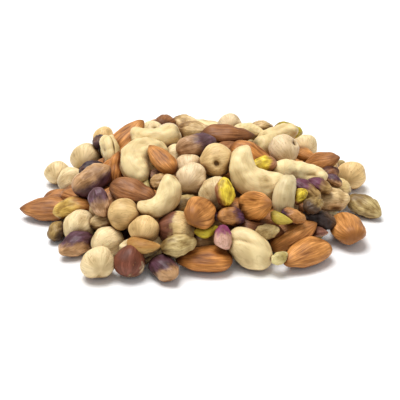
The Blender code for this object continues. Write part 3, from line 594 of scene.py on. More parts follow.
@dataclass
class HeapLayout:
    """Where every nut lies: the outer ones as in the solid, and a sunk layer that shows between them."""

    shape: HeapShape = field(default_factory=HeapShape)
    settling: Settling = field(default_factory=Settling)
    sunk: tuple[tuple[Kind, int], ...] = (
        (ALMOND, 22), (CASHEW, 8), (HAZELNUT, 22), (PISTACHIO, 34), (CHIP, 26),
    )
    sunk_darts: int = 1600
    sunk_depths: tuple[float, float] = (6 * MM, 12 * MM)
    sunk_crowding: float = 0.74
    sunk_inset: float = 12 * MM

    def place_seen(self, spot: Seen) -> Nut:
        """A nut on the sight line of its pixel, where that first meets the heap, or passes nearest."""
        sight = VIEW.sight(spot.across, spot.down)
        half = spot.kind.thickness / 2 * spot.size
        nearest, best = None, math.inf
        start, end = (share * VIEW.distance for share in VIEW.search)
        for distance in np.arange(start, end, VIEW.search_step):
            point = VIEW.eye + sight * distance
            x, y = float(point[0]), float(point[1])
            inside = math.hypot(x, y) < self.shape.reach_at(x, y) - VIEW.search_inset
            above = point[2] - max(self.shape.top(x, y) - half, half)
            if above <= 0 and (inside or y < 0):
                nearest = point
                break
            if inside and above < best:
                nearest, best = point, above
        turning = self.turning_in_view(spot, float(nearest[0]), float(nearest[1]))
        return Nut(spot.kind, spot.size, nearest - sight * spot.lift * MM, turning, spot)

    def turning_in_view(self, spot: Seen, x: float, y: float) -> np.ndarray:
        """The turning of a nut that shows at a picture angle, over a point of the floor."""
        normal = unit(self.shape.normal(x, y) * (1 - spot.lean) + VIEW.to_viewer * spot.lean)
        wanted = VIEW.way(spot.turn)
        facing = max(VIEW.least_facing, float(VIEW.to_viewer @ normal))
        along = wanted - VIEW.to_viewer * float(wanted @ normal) / facing
        along = unit(along - normal * float(along @ normal))
        return turning_of(normal, along, spot.dip, spot.roll)

    def random_nut(self, kind: Kind, random: np.random.Generator) -> Nut:
        """A nut lying anywhere on the heap."""
        angle, share = random.uniform(0, 2 * math.pi), math.sqrt(random.uniform(0, 1))
        heading = random.uniform(0, 2 * math.pi)
        dip, roll = random.normal(0, HeapRules.fill_dip), random.normal(0, HeapRules.fill_roll)
        size = random.uniform(*HeapRules.fill_sizes)
        x, y = math.cos(angle), math.sin(angle)
        reach = (self.shape.reach_at(x, y) - HeapRules.fill_inset) * share
        x, y = x * reach, y * reach
        normal = self.shape.normal(x, y)
        half = kind.thickness / 2 * size
        middle = np.array([x, y, max(self.shape.top(x, y) - half, half)])
        along = unit(np.cross(normal, [math.cos(heading), math.sin(heading), HeapRules.fill_heading_rise]))
        return Nut(kind, size, middle, turning_of(normal, along, dip, roll))

    def crowded(self, nut: Nut, other: Nut, closeness: float) -> bool:
        """Whether two nuts are too near each other, by how far each reaches towards the other."""
        apart = other.middle - nut.middle
        distance = np.linalg.norm(apart)
        if distance > HeapRules.clear_beyond:
            return False
        if distance < HeapRules.crowded_within:
            return True
        direction = apart / distance
        return distance < closeness * (nut.reach_along(direction) + other.reach_along(direction))

    def hides(self, nut: Nut, other: Nut) -> bool:
        """Whether a nut stands before one that shows: nearer to the viewer, and little aside of it."""
        apart = other.middle - nut.middle
        behind = float(apart @ VIEW.to_viewer)
        if behind > 0 or not other.seen:
            return False
        aside = apart - behind * VIEW.to_viewer
        distance = max(float(np.linalg.norm(aside)), VIEW.search_step)
        direction = aside / distance
        return distance < HeapRules.hides_within * (nut.reach_along(direction) + other.reach_along(direction))

    def has_room(self, nut: Nut, nuts: list[Nut], closeness: float) -> bool:
        """Whether a nut is clear of all the others, and hides none that shows."""
        apart = np.array([other.middle for other in nuts]) - nut.middle
        aside = apart - (apart @ VIEW.to_viewer)[:, None] * VIEW.to_viewer
        near = np.flatnonzero(np.linalg.norm(aside, axis=1) < HeapRules.clear_beyond)
        return not any(self.crowded(nut, nuts[i], closeness) or self.hides(nut, nuts[i]) for i in near)

    def fill_bare_places(self, nuts: list[Nut], random: np.random.Generator) -> None:
        """Adds nuts by chance where the ones that show leave the heap bare and hide what lies there."""
        screens = self.screens_of(nuts)
        for kind, wanted in HeapRules.fill:
            for _ in range(HeapRules.fill_darts):
                nut = self.random_nut(kind, random)
                clear = wanted > 0 and self.has_room(nut, nuts, HeapRules.fill_crowding)
                if clear and self.hidden(nut, screens):
                    nuts.append(nut)
                    wanted -= 1

    def screens_of(self, nuts: list[Nut]) -> np.ndarray:
        """The spheres of the nuts that show, where they lie."""
        return np.vstack([self.settling.spheres_in(nut) + [*nut.middle, 0.0] for nut in nuts if nut.seen])

    def hidden(self, nut: Nut, screens: np.ndarray) -> bool:
        """Whether the heap, or the spheres of the nuts that show, hide the whole of a nut."""
        rows = self.settling.spheres_in(nut) + [*nut.middle, 0.0]
        tops = rows[:, :3] + UP * rows[:, 3:] * HeapRules.shows_above
        apart = screens[:, None, :3] - tops
        nearer = apart @ VIEW.to_viewer
        aside = np.linalg.norm(apart - nearer[:, :, None] * VIEW.to_viewer, axis=2)
        covered = ((nearer > 0) & (aside < screens[:, None, 3])).any(axis=0)
        return all(under or self.behind_heap(top) for under, top in zip(covered, tops))

    def behind_heap(self, point: np.ndarray) -> bool:
        """Whether the heap rises between a point and the viewer."""
        steps = np.arange(HeapRules.shadow_step, HeapRules.shadow_reach, HeapRules.shadow_step)
        sights = [point + VIEW.to_viewer * distance for distance in steps]
        return any(self.shape.top(float(x), float(y)) > z for x, y, z in sights)

    def in_heap(self, nut: Nut) -> bool:
        """Whether a nut has its middle well inside the heap's reach."""
        x, y = float(nut.middle[0]), float(nut.middle[1])
        return math.hypot(x, y) < self.shape.reach_at(x, y) - HeapRules.unseen_inset

    def outer_nuts(self) -> list[Nut]:
        """The nuts of the heap's outside, settled, as they lie in the solid."""
        nuts = [self.place_seen(spot) for spot in LEFT_SIDE + FRONT_SIDE + MIDDLE + BACK_SIDE]
        self.fill_bare_places(nuts, np.random.default_rng(SEED))
        self.settling.settle(nuts)
        screens = self.screens_of(nuts)
        shown = [nut for nut in nuts if nut.seen]
        added = [nut for nut in nuts[len(shown):] if self.in_heap(nut) and self.hidden(nut, screens)]
        return shown + [nut for nut in added if not any(self.hides(nut, other) for other in shown)]

    def sunk_nuts(self, outer: list[Nut]) -> list[Nut]:
        """Nuts under the outer ones, where gaps between those let them show.

        Args:
            outer: the nuts of the heap's outside, which stay where they are.

        Returns:
            The further nuts, settled against them.
        """
        random = np.random.default_rng(SUNK_SEED)
        nuts = list(outer)
        for kind, wanted in self.sunk:
            for _ in range(self.sunk_darts):
                nut = self.random_nut(kind, random)
                x, y, z = nut.middle
                sink = random.uniform(*self.sunk_depths)
                half = kind.thickness / 2 * nut.size
                nut.middle = np.array([x, y, max(z - sink, half)])
                nut.sunk = True
                near_edge = math.hypot(x, y) > self.shape.reach_at(x, y) - self.sunk_inset - half
                if wanted < 1 or near_edge:
                    continue
                if self.has_room(nut, nuts, self.sunk_crowding):
                    nuts.append(nut)
                    wanted -= 1
        self.settling.settle(nuts, still=len(outer))
        return nuts[len(outer):]


class Waves:
    """Smooth noise: a sum of waves that run in random directions."""

    spread = (0.7, 1.4)

    def __init__(self, random: np.random.Generator, wavelength: float, count: int = 18) -> None:
        """Draws the waves.

        Args:
            random: where the directions come from.
            wavelength: the middle wavelength.
            count: how many waves.
        """
        ways = random.normal(size=(count, 3))
        ways /= np.linalg.norm(ways, axis=1)[:, None]
        self.ways = ways * (2 * math.pi / wavelength) * random.uniform(*self.spread, count)[:, None]
        self.phases = random.uniform(0, 2 * math.pi, count)
        self.calm = math.sqrt(count / 2)

    def at(self, points: np.ndarray) -> np.ndarray:
        """The noise at points, most of it between -1 and 1."""
        return np.sin(points @ self.ways.T + self.phases).sum(axis=-1) / self.calm


@dataclass
class Section:
    """A nut's smooth surface before its relief: for each point its share of the length and its angle."""

    share: np.ndarray
    angle: np.ndarray
    points: np.ndarray
    outward: np.ndarray
    plump: np.ndarray


@dataclass
class NutForms:
    """The forms of one kind of nut, from which all its nuts are set out."""

    bow_level = 0.4

    kind: Kind
    rings: int
    sides: int
    count: int
    lump: float = 0.25 * MM
    lump_size: float = 8 * MM
    asked_only: int = 0

    def lumps(self, section: Section, random: np.random.Generator) -> np.ndarray:
        """The broad lumps that all kinds have, in metres."""
        return self.lump * Waves(random, self.lump_size).at(section.points)

    def relief(self, section: Section, random: np.random.Generator, number: int) -> np.ndarray:
        """How far each point stands out of the smooth surface, in metres."""
        return self.lumps(section, random)

    def reshape(self, points: np.ndarray, random: np.random.Generator, number: int) -> np.ndarray:
        """The points after any change to the whole nut."""
        return points

    def section(self, random: np.random.Generator) -> Section:
        """The smooth surface, closed by a point at each end."""
        kind = self.kind
        steps = (1 - np.cos(np.pi * np.arange(1, self.rings + 1) / (self.rings + 1))) / 2
        share, angle = np.meshgrid(steps, 2 * np.pi * np.arange(self.sides) / self.sides, indexing="ij")
        share = np.concatenate([[0.0], share.ravel(), [1.0]])
        angle = np.concatenate([[0.0], angle.ravel(), [0.0]])
        plump = kind.plumpness(share)
        middle, outward = kind.spine(share)
        wide = outward * (np.cos(angle) * kind.width / 2)[:, None]
        thick = UP * (np.sin(angle) * kind.thickness / 2)[:, None]
        points = middle + (wide + thick) * plump[:, None]
        way = outward * np.cos(angle)[:, None] + UP * np.sin(angle)[:, None]
        return Section(share, angle, points, way, plump)

    def faces(self) -> list[tuple[int, ...]]:
        """The faces over the surface's points."""
        tip = self.rings * self.sides + 1
        last = 1 + (self.rings - 1) * self.sides
        faces = []
        for side in range(self.sides):
            after = (side + 1) % self.sides
            faces.append((0, 1 + after, 1 + side))
            faces.append((tip, last + side, last + after))
            for ring in range(self.rings - 1):
                here, beyond = 1 + ring * self.sides, 1 + (ring + 1) * self.sides
                faces.append((here + side, here + after, beyond + after, beyond + side))
        return faces

    def build(self, number: int) -> bpy.types.Object:
        """Makes one form, with the attributes that its finish reads.

        Args:
            number: which of the kind's forms.

        Returns:
            The form's object, in no collection.
        """
        random = np.random.default_rng([FORM_SEED, number, len(self.kind.name)])
        section = self.section(random)
        relief = self.relief(section, random, number)
        fade = np.minimum(1.0, 2.0 * section.plump)
        points = section.points + section.outward * (relief * fade)[:, None]
        points = self.reshape(points, random, number)
        mesh = bpy.data.meshes.new(f"{self.kind.name} {number}")
        mesh.from_pydata(points.tolist(), [], self.faces())
        halves = (points.max(axis=0) - points.min(axis=0)) / 2
        middle = (points.max(axis=0) + points.min(axis=0)) / 2
        around = np.column_stack([2 * section.share - 1, np.cos(section.angle), np.sin(section.angle)])
        around[0, 1:] = around[-1, 1:] = 0.0
        self.attribute(mesh, "place", (points - middle) / halves)
        self.attribute(mesh, "around", around)
        hollow = mesh.attributes.new("hollow", "FLOAT", "POINT")
        depths = np.clip(-relief * fade / HOLLOW_UNIT, *HOLLOW_RANGE)
        hollow.data.foreach_set("value", depths.astype(np.float32))
        shape = bmesh.new()
        shape.from_mesh(mesh)
        bmesh.ops.recalc_face_normals(shape, faces=shape.faces)
        shape.to_mesh(mesh)
        shape.free()
        return bpy.data.objects.new(mesh.name, mesh)

    @staticmethod
    def attribute(mesh: bpy.types.Mesh, name: str, rows: np.ndarray) -> None:
        """Stores a vector for each of a mesh's points."""
        values = mesh.attributes.new(name, "FLOAT_VECTOR", "POINT")
        values.data.foreach_set("vector", rows.astype(np.float32).ravel())


def ridges(section: Section, random: np.random.Generator, counts: range, wander: float) -> np.ndarray:
    """Ridges that run from end to end and wander a little.

    Args:
        section: the surface they lie on.
        random: where their places come from.
        counts: how many ridges each of the summed waves has round the nut.
        wander: radians by which they stray sideways.

    Returns:
        A height for each point, most of it between -1 and 1.
    """
    stray = wander * np.sin(2 * np.pi * section.share * random.uniform(0.6, 1.3) + random.uniform(0, 6))
    total = np.zeros_like(section.share)
    for count in counts:
        twist = random.uniform(-0.8, 0.8) * np.sin(np.pi * section.share * random.uniform(1, 3))
        strength = random.uniform(0.5, 1.0)
        total += strength * np.sin(count * (section.angle + stray) + twist * 2 + random.uniform(0, 6))
    return total / math.sqrt(len(counts) / 2)


def seam(section: Section, kind: Kind, side: float, width: float) -> np.ndarray:
    """How near each point is to a seam that runs lengthwise, 1 on it and 0 away from it."""
    apart = np.abs((section.angle - side + np.pi) % (2 * np.pi) - np.pi)
    across = apart * section.plump * (kind.width + kind.thickness) / 4
    return np.exp(-((across / width) ** 2))


class AlmondForms(NutForms):
    """Almonds: flat drops with a pointed tip, ridged from end to end under the skin."""

    ridge_height = 0.13 * MM
    ridge_counts = range(9, 20)
    ridge_wander = 0.12
    bow = 0.5 * MM
    upward_bow = 0.6
    thinner_side = 0.16

    def relief(self, section: Section, random: np.random.Generator, number: int) -> np.ndarray:
        """Broad lumps, and the ridges that the skin's veins leave."""
        lumps = self.lumps(section, random)
        veins = ridges(section, random, self.ridge_counts, self.ridge_wander)
        return lumps + self.ridge_height * section.plump**3 * veins

    def reshape(self, points: np.ndarray, random: np.random.Generator, number: int) -> np.ndarray:
        """Bows the nut a little, flattens one of its sides and shifts its belly."""
        along = points[:, 0] / (self.kind.length / 2)
        points = points.copy()
        points[:, 1] += random.uniform(-1, 1) * self.bow * (along**2 - self.bow_level)
        upward = random.uniform(-self.upward_bow, self.upward_bow)
        points[:, 2] += upward * self.bow * (along**2 - self.bow_level)
        thin_side = random.choice([-1.0, 1.0])
        thinner = 1 - self.thinner_side * np.clip(thin_side * points[:, 1] / (self.kind.width / 2), 0, 1) ** 2
        points[:, 2] *= thinner
        return points


class CashewForms(NutForms):
    """Cashews: thick crescents of two halves, with a seam along the outer bend."""

    seam_depth = 0.45 * MM
    seam_width = 0.7 * MM
    seam_shares = (0.2, 0.6)
    seam_wander = 0.16
    inner_seam_share = 0.6
    deep_seam_form = 2
    deep_seam_share = 1.9
    dimple = 0.1 * MM
    dimple_size = 3.5 * MM

    def relief(self, section: Section, random: np.random.Generator, number: int) -> np.ndarray:
        """Lumps, dents on the inner bend, and the seam, deep on one of the forms."""
        lumps = self.lumps(section, random)
        small = self.dimple * Waves(random, self.dimple_size).at(section.points)
        deep = number == self.deep_seam_form
        depth = self.seam_depth * (self.deep_seam_share if deep else random.uniform(*self.seam_shares))
        wander = self.seam_wander * np.sin(3 * section.share + random.uniform(0, 6))
        outer = seam(section, self.kind, wander.mean(), self.seam_width)
        inner = seam(section, self.kind, math.pi, self.seam_width)
        return lumps + small - depth * outer - self.seam_depth * self.inner_seam_share * inner


class CurlForms(NutForms):
    """A cashew that is curled shut, seen from its back: a broad egg with one curved crease."""

    crease_depth = 0.6 * MM
    crease_width = 0.7 * MM
    crease_slant = 0.24
    crease_bend = 0.22
    crease_reach = 0.7
    crease_middle = -0.1
    crease_fade = 0.3

    def relief(self, section: Section, random: np.random.Generator, number: int) -> np.ndarray:
        """Soft lumps, and the crease that runs across the broad side and bends towards one end."""
        lumps = self.lumps(section, random)
        along = section.points[:, 0] / (self.kind.length / 2)
        path = self.kind.width * (self.crease_slant * along - self.crease_bend * along**2)
        away = np.abs(section.points[:, 1] - path)
        run = np.clip((self.crease_reach - np.abs(along - self.crease_middle)) / self.crease_fade, 0, 1)
        top = section.points[:, 2] > 0
        return lumps - self.crease_depth * run * top * np.exp(-((away / self.crease_width) ** 2))


class HazelnutForms(NutForms):
    """Blanched hazelnuts: nearly round, with soft edges, fine lines and a small point."""

    lobes = ((3, 0.14 * MM), (5, 0.06 * MM))
    line_height = 0.04 * MM
    line_counts = range(12, 22)
    line_wander = 0.1
    dented_form = 5
    hole_place = (0.15, 0.72, 0.68)
    hole_squash = (1.0, 0.62, 1.0)
    hole_depth = 2.2 * MM
    hole_radius = 1.3 * MM
    point_height = 0.5 * MM
    point_share = 0.03

    def relief(self, section: Section, random: np.random.Generator, number: int) -> np.ndarray:
        """Soft lobes, lumps and, on one form, the hole where the two halves part."""
        lobes = sum(
            height * np.cos(count * section.angle + random.uniform(0, 6)) for count, height in self.lobes
        )
        lumps = self.lumps(section, random)
        lines = self.line_height * ridges(section, random, self.line_counts, self.line_wander)
        dent = 0.0
        if number == self.dented_form:
            hole = np.array(self.hole_place) * self.kind.width / 2
            away = np.linalg.norm((section.points - hole) * self.hole_squash, axis=1)
            dent = self.hole_depth * np.exp(-((away / self.hole_radius) ** 2))
        point = self.point_height * np.exp(-(((1 - section.share) / self.point_share) ** 2))
        return lobes + lumps + lines - dent + point


class PistachioForms(NutForms):
    """Pistachio kernels: slim drops of two halves, wrinkled under a thin skin."""

    wrinkle = 0.12 * MM
    wrinkle_counts = range(5, 14)
    wrinkle_wander = 0.3
    strengths = (0.7, 1.3)
    crumpled_form = 5
    crumpled_strength = 2.6
    dimple = 0.09 * MM
    dimple_size = 3 * MM
    groove_width = 0.5 * MM
    groove_depths = (0.1, 0.4)
    bow = 0.6
    flat_under = (0.75, 0.95)

    def relief(self, section: Section, random: np.random.Generator, number: int) -> np.ndarray:
        """Wrinkles that run lengthwise, small lumps, and the seam between the halves."""
        crumpled = number == self.crumpled_form
        strength = self.crumpled_strength if crumpled else random.uniform(*self.strengths)
        wrinkles = self.wrinkle * strength * ridges(section, random, self.wrinkle_counts, self.wrinkle_wander)
        small = self.dimple * strength * Waves(random, self.dimple_size).at(section.points)
        lumps = self.lumps(section, random)
        groove = sum(seam(section, self.kind, side, self.groove_width) for side in (0.0, math.pi))
        return lumps + wrinkles + small - random.uniform(*self.groove_depths) * MM * groove

    def reshape(self, points: np.ndarray, random: np.random.Generator, number: int) -> np.ndarray:
        """Bows the kernel a little and flattens its underside."""
        along = points[:, 0] / (self.kind.length / 2)
        points = points.copy()
        points[:, 1] += random.uniform(-self.bow, self.bow) * MM * (along**2 - self.bow_level)
        under = points[:, 2] < 0
        points[under, 2] *= random.uniform(*self.flat_under)
        return points


class SliverForms(NutForms):
    """Slivers: thin crescents split off a kernel."""

    bow = 1.3 * MM

    def reshape(self, points: np.ndarray, random: np.random.Generator, number: int) -> np.ndarray:
        """Bows the sliver into a crescent, its ends up."""
        along = points[:, 0] / (self.kind.length / 2)
        points = points.copy()
        points[:, 1] += self.bow * (along**2 - self.bow_level)
        return points


class ChipForms(NutForms):
    """Chips: broken bits with a few flat, rough faces."""

    breaks = 5
    break_depths = (0.55, 0.85)
    break_flatness = 0.9
    crumb = 0.14 * MM
    crumb_size = 2.2 * MM

    def relief(self, section: Section, random: np.random.Generator, number: int) -> np.ndarray:
        """Rough small lumps."""
        lumps = self.lumps(section, random)
        return lumps + self.crumb * Waves(random, self.crumb_size).at(section.points)

    def reshape(self, points: np.ndarray, random: np.random.Generator, number: int) -> np.ndarray:
        """Breaks the bit off along a few planes."""
        halves = np.array([self.kind.length, self.kind.width, self.kind.thickness]) / 2
        for _ in range(self.breaks):
            way = unit(random.normal(size=3))
            depth = np.linalg.norm(halves * way) * random.uniform(*self.break_depths)
            beyond = np.maximum(0.0, points @ way - depth)
            points = points - beyond[:, None] * way * self.break_flatness
        return points


@dataclass(frozen=True)
class NutFinish:
    """The finish of one kind of nut: thin skin or bare flesh, veined, mottled and dry.

    streak_every is the distance between veins and mottle_size the size of the blotches. The contrasts,
    skin_streak and crease_dark say how far each lightens or darkens the colour. skin_edge, skin_ragged
    and skin_zone shape the border of the skin. end_dark darkens both ends from end_from outwards, and
    dent_painted_shade and hole_painted_shade darken the dents and the holes as painted shade. vein_depth
    and grain_depth are the bumps' heights. fleck_share and fleck_colour are those of small flecks. warmth
    holds the powers of the tone in red, green and blue, and the painted_shade values tint what lies close
    to another nut brown, as painted shade. The values after those are the same for all kinds: how the
    noises are stretched, where each effect begins and ends, and how far light passes into the flesh.
    Lengths are in metres.
    """

    name: str
    half_length: float
    mean_radius: float
    streak_every: float
    streak_contrast: float
    mottle_size: float
    mottle_contrast: float
    skin_edge: float
    skin_ragged: float
    skin_zone: float
    end_dark: float
    # Painted shade: how much darker the dents are.
    dent_painted_shade: float
    vein_depth: float
    grain_depth: float
    roughness: float
    specular: float
    subsurface: float
    skin_streak: float = 0.0
    crease_dark: float = 0.0
    fleck_share: float = 0.0
    fleck_colour: str = "#8A5A34"
    # Painted shade: how much of the colour is left deep in a hole.
    hole_painted_shade: float = 0.18
    end_from: float = 0.86
    warmth: tuple[float, float, float] = (0.82, 1.0, 1.3)
    # Painted shade: the warm brown that darkens the colour where other nuts lie close, how far it looks, and
    # over what range.
    painted_shade_tint: tuple[float, float, float] = (0.30, 0.17, 0.09)
    painted_shade_reach: float = 5 * MM
    painted_shade_range: tuple[float, float] = (0.18, 0.72)
    vein_along: float = 1.1
    fine_along: float = 4.0
    fine_across: float = 2.7
    mottle_across: float = 0.7
    calm_from: float = 0.7
    calm_least: float = 0.15
    cover_reach: float = 1.25
    crease_width: float = 0.04
    shade_step: float = 0.18
    dent_range: tuple[float, float] = (-0.2, 1.0)
    hole_range: tuple[float, float] = (1.4, 3.2)
    fleck_every: float = 1.1 * MM
    fleck_range: tuple[float, float] = (0.66, 0.78)
    glow_radius: tuple[float, float, float] = (1.0, 0.55, 0.28)
    glow_scale: float = 1.6 * MM

    def build(self) -> bpy.types.Material:
        """Makes the material."""
        material = bpy.data.materials.new(self.name)
        material.use_nodes = True
        nodes = NodeMaker(material.node_tree)
        place, around = nodes.attribute("place", "Vector"), nodes.attribute("around", "Vector")
        seed = nodes.attribute("nut_seed", "Fac")
        count, blotches = self.mean_radius / self.streak_every, self.half_length / self.mottle_size
        finer, wider = self.fine_across * count, blotches * self.mottle_across
        streak = self.noise(nodes, around, (self.vein_along, count, count), seed, detail=2.5, rough=0.6)
        fine = self.noise(nodes, around, (self.fine_along, finer, finer), seed, detail=3.0, rough=0.65)
        mottle = self.noise(nodes, place, (blotches, wider, wider), seed, detail=3.0, rough=0.55)
        covered = self.skin_cover(nodes, place, mottle, streak)
        skin = nodes.attribute("skin_colour", "Vector")
        flesh = nodes.attribute("flesh_colour", "Vector")
        base = nodes.blend(covered, flesh, skin)
        far = nodes.math("ABSOLUTE", nodes.add("ShaderNodeSeparateXYZ", {}, {0: place}))
        calm = nodes.ramp(far, (self.calm_from, 1.0), (1.0, self.calm_least), soft=True)
        tone = self.tone(nodes, far, calm, streak, fine, mottle, covered)
        toned = nodes.vector("MULTIPLY", base, self.warmed(nodes, tone))
        for name, value in (
            ("Roughness", self.roughness),
            ("Specular IOR Level", self.specular),
            ("Subsurface Weight", self.subsurface),
            ("Subsurface Radius", self.glow_radius),
            ("Subsurface Scale", self.glow_scale),
        ):
            nodes.shader.inputs[name].default_value = value
        flecked = self.flecked(nodes, toned, place, seed)
        # Painted shade where other nuts lie close goes on last.
        nodes.link(self.painted_contact_shade(nodes, flecked), nodes.shader.inputs["Base Color"])
        self.bumps(nodes, calm, streak, fine)
        return material

    def noise(
        self, nodes: "NodeMaker", where: Socket, often: tuple, seed: Socket, detail: float, rough: float
    ) -> Socket:
        """Noise over a vector that is stretched first, its own on each nut."""
        way = nodes.vector("MULTIPLY", where, often)
        own = nodes.math("MULTIPLY", seed, SEED_SPREAD)
        return nodes.add(
            "ShaderNodeTexNoise", {"noise_dimensions": "4D"},
            {"Vector": way, "W": own, "Scale": 1.0, "Detail": detail, "Roughness": rough},
        )

    def skin_cover(self, nodes: "NodeMaker", place: Socket, mottle: Socket, streak: Socket) -> Socket:
        """How far skin covers the flesh: 1 under skin, 0 where it has come off."""
        bare = nodes.attribute("bare_way", "Vector")
        share = nodes.attribute("skin_share", "Fac")
        facing = nodes.vector("DOT_PRODUCT", place, bare, output=1)
        zone = nodes.math("MULTIPLY", facing, -self.skin_zone)
        ragged = nodes.math("MULTIPLY_ADD", mottle, self.skin_ragged, zone)
        torn = nodes.math("MULTIPLY_ADD", streak, self.skin_ragged * 0.4, ragged)
        shift = -0.7 * self.skin_ragged
        wanted = nodes.ramp(share, (0.0, 1.0), (-self.cover_reach + shift, self.cover_reach + shift))
        return nodes.ramp(nodes.math("ADD", torn, wanted), (-self.skin_edge, self.skin_edge), soft=True)

    def painted_contact_shade(self, nodes: "NodeMaker", colour: Socket) -> Socket:
        """The colour darkened to warm brown by ambient occlusion where other nuts lie close: painted shade in
        the gaps between nuts.
        """
        open_share = nodes.add(
            "ShaderNodeAmbientOcclusion", {"samples": 6}, {"Distance": self.painted_shade_reach}, output=1
        )
        unshaded_share = nodes.ramp(open_share, self.painted_shade_range, soft=True)
        return nodes.vector("MULTIPLY", colour, nodes.blend(unshaded_share, self.painted_shade_tint, (1, 1, 1)))

    def tone(
        self, nodes: "NodeMaker", far: Socket, calm: Socket, streak: Socket, fine: Socket, mottle: Socket,
        covered: Socket,
    ) -> Socket:
        """How much lighter or darker than its plain colour each point is."""
        contrast = self.streak_contrast
        veins = nodes.ramp(streak, NOISE_RANGE, (1 - contrast, 1 + contrast * 0.7))
        specks = nodes.ramp(fine, NOISE_RANGE, (1 - contrast * 0.5, 1 + contrast * 0.4))
        apart = nodes.math("ABSOLUTE", nodes.math("SUBTRACT", streak, 0.5))
        creases = nodes.ramp(apart, (0.0, self.crease_width), (1 - self.crease_dark, 1.0), soft=True)
        product = nodes.math("MULTIPLY", nodes.math("MULTIPLY", veins, specks), creases)
        product = nodes.mix(calm, 1.0, product)
        factors = [nodes.ramp(mottle, NOISE_RANGE, (1 - self.mottle_contrast, 1 + self.mottle_contrast))]
        if self.skin_streak:
            lines = nodes.ramp(streak, NOISE_RANGE, (1 - self.skin_streak, 1 + self.skin_streak))
            factors.append(nodes.mix(covered, 1.0, lines))
        hollow = nodes.attribute("hollow", "Fac")
        factors += [
            nodes.math("MULTIPLY_ADD", nodes.attribute("shade", "Fac"), self.shade_step, 1.0),
            # Painted shade in the dents and, darker still, in the holes.
            nodes.ramp(hollow, self.dent_range, (1.0, 1 - self.dent_painted_shade)),
            nodes.ramp(hollow, self.hole_range, (1.0, self.hole_painted_shade), soft=True),
            nodes.ramp(far, (self.end_from, 1.0), (1.0, 1 - self.end_dark), soft=True),
        ]
        for factor in factors:
            product = nodes.math("MULTIPLY", product, factor)
        return product

    def warmed(self, nodes: "NodeMaker", tone: Socket) -> Socket:
        """A tone for each of red, green and blue, so that what is darker is also warmer."""
        powers = [nodes.math("POWER", tone, power) for power in self.warmth]
        return nodes.add("ShaderNodeCombineXYZ", {}, dict(enumerate(powers)))

    def flecked(self, nodes: "NodeMaker", colour: Socket, place: Socket, seed: Socket) -> Socket:
        """The colour with small brown flecks, where the finish has any."""
        if not self.fleck_share:
            return colour
        often = self.half_length / self.fleck_every
        dots = self.noise(nodes, place, (often, often, often), seed, detail=1.0, rough=0.5)
        shown = nodes.ramp(dots, self.fleck_range, (0.0, self.fleck_share), soft=True)
        return nodes.blend(shown, colour, linear(self.fleck_colour))

    def bumps(self, nodes: "NodeMaker", calm: Socket, streak: Socket, fine: Socket) -> None:
        """Raises the veins and the grain."""
        veins = nodes.add("ShaderNodeBump", {}, {
            "Strength": calm, "Distance": self.vein_depth, "Height": streak,
        })
        grain = nodes.add("ShaderNodeBump", {}, {
            "Strength": 1.0, "Distance": self.grain_depth, "Height": fine, "Normal": veins,
        })
        nodes.link(grain, nodes.shader.inputs["Normal"])


class NodeMaker:
    """A node tree, and the one way in which nodes are added to it, in materials and geometry alike."""

    def __init__(self, tree: bpy.types.NodeTree) -> None:
        """Takes the tree."""
        self.tree = tree

    @property
    def shader(self) -> bpy.types.Node:
        """A material's surface shader."""
        return self.tree.nodes["Principled BSDF"]

    def add(self, kind: str, settings: dict, inputs: dict, output: Optional[int] = 0) -> Optional[Socket]:
        """Adds a node.

        Args:
            kind: the node's type.
            settings: its properties by name.
            inputs: its inputs by name or number, each a value or another node's output.
            output: which of its outputs is wanted, or None where it has none.

        Returns:
            That output.
        """
        node = self.tree.nodes.new(kind)
        for name, value in settings.items():
            setattr(node, name, value)
        for name, value in inputs.items():
            if isinstance(value, Socket):
                self.tree.links.new(value, node.inputs[name])
            else:
                node.inputs[name].default_value = value
        return None if output is None else node.outputs[output]

    def math(self, operation: str, *values: object) -> Socket:
        """Adds a sum on numbers."""
        return self.add("ShaderNodeMath", {"operation": operation}, dict(enumerate(values)))

    def vector(self, operation: str, *values: object, output: int = 0) -> Socket:
        """Adds a sum on vectors."""
        return self.add("ShaderNodeVectorMath", {"operation": operation}, dict(enumerate(values)), output)

    def ramp(self, value: Socket, old: tuple, new: tuple = (0.0, 1.0), soft: bool = False) -> Socket:
        """Takes a value from an old range to a new one, eased at its ends if soft."""
        settings = {"interpolation_type": "SMOOTHSTEP"} if soft else {}
        limits = {"From Min": old[0], "From Max": old[1], "To Min": new[0], "To Max": new[1]}
        return self.add("ShaderNodeMapRange", settings, {"Value": value, **limits})

    def mix(self, share: Socket, low: object, high: object) -> Socket:
        """Mixes two numbers."""
        return self.add("ShaderNodeMix", {}, {0: share, 2: low, 3: high})

    def blend(self, share: Socket, low: object, high: object) -> Socket:
        """Mixes two vectors or colours."""
        return self.add("ShaderNodeMix", {"data_type": "VECTOR"}, {0: share, 4: low, 5: high}, output=1)

    def attribute(self, name: str, output: str) -> Socket:
        """Reads an attribute of the mesh."""
        return self.add("ShaderNodeAttribute", {"attribute_name": name}, {}).node.outputs[output]

    def link(self, source: Socket, target: Socket) -> None:
        """Links an output to an input."""
        self.tree.links.new(source, target)


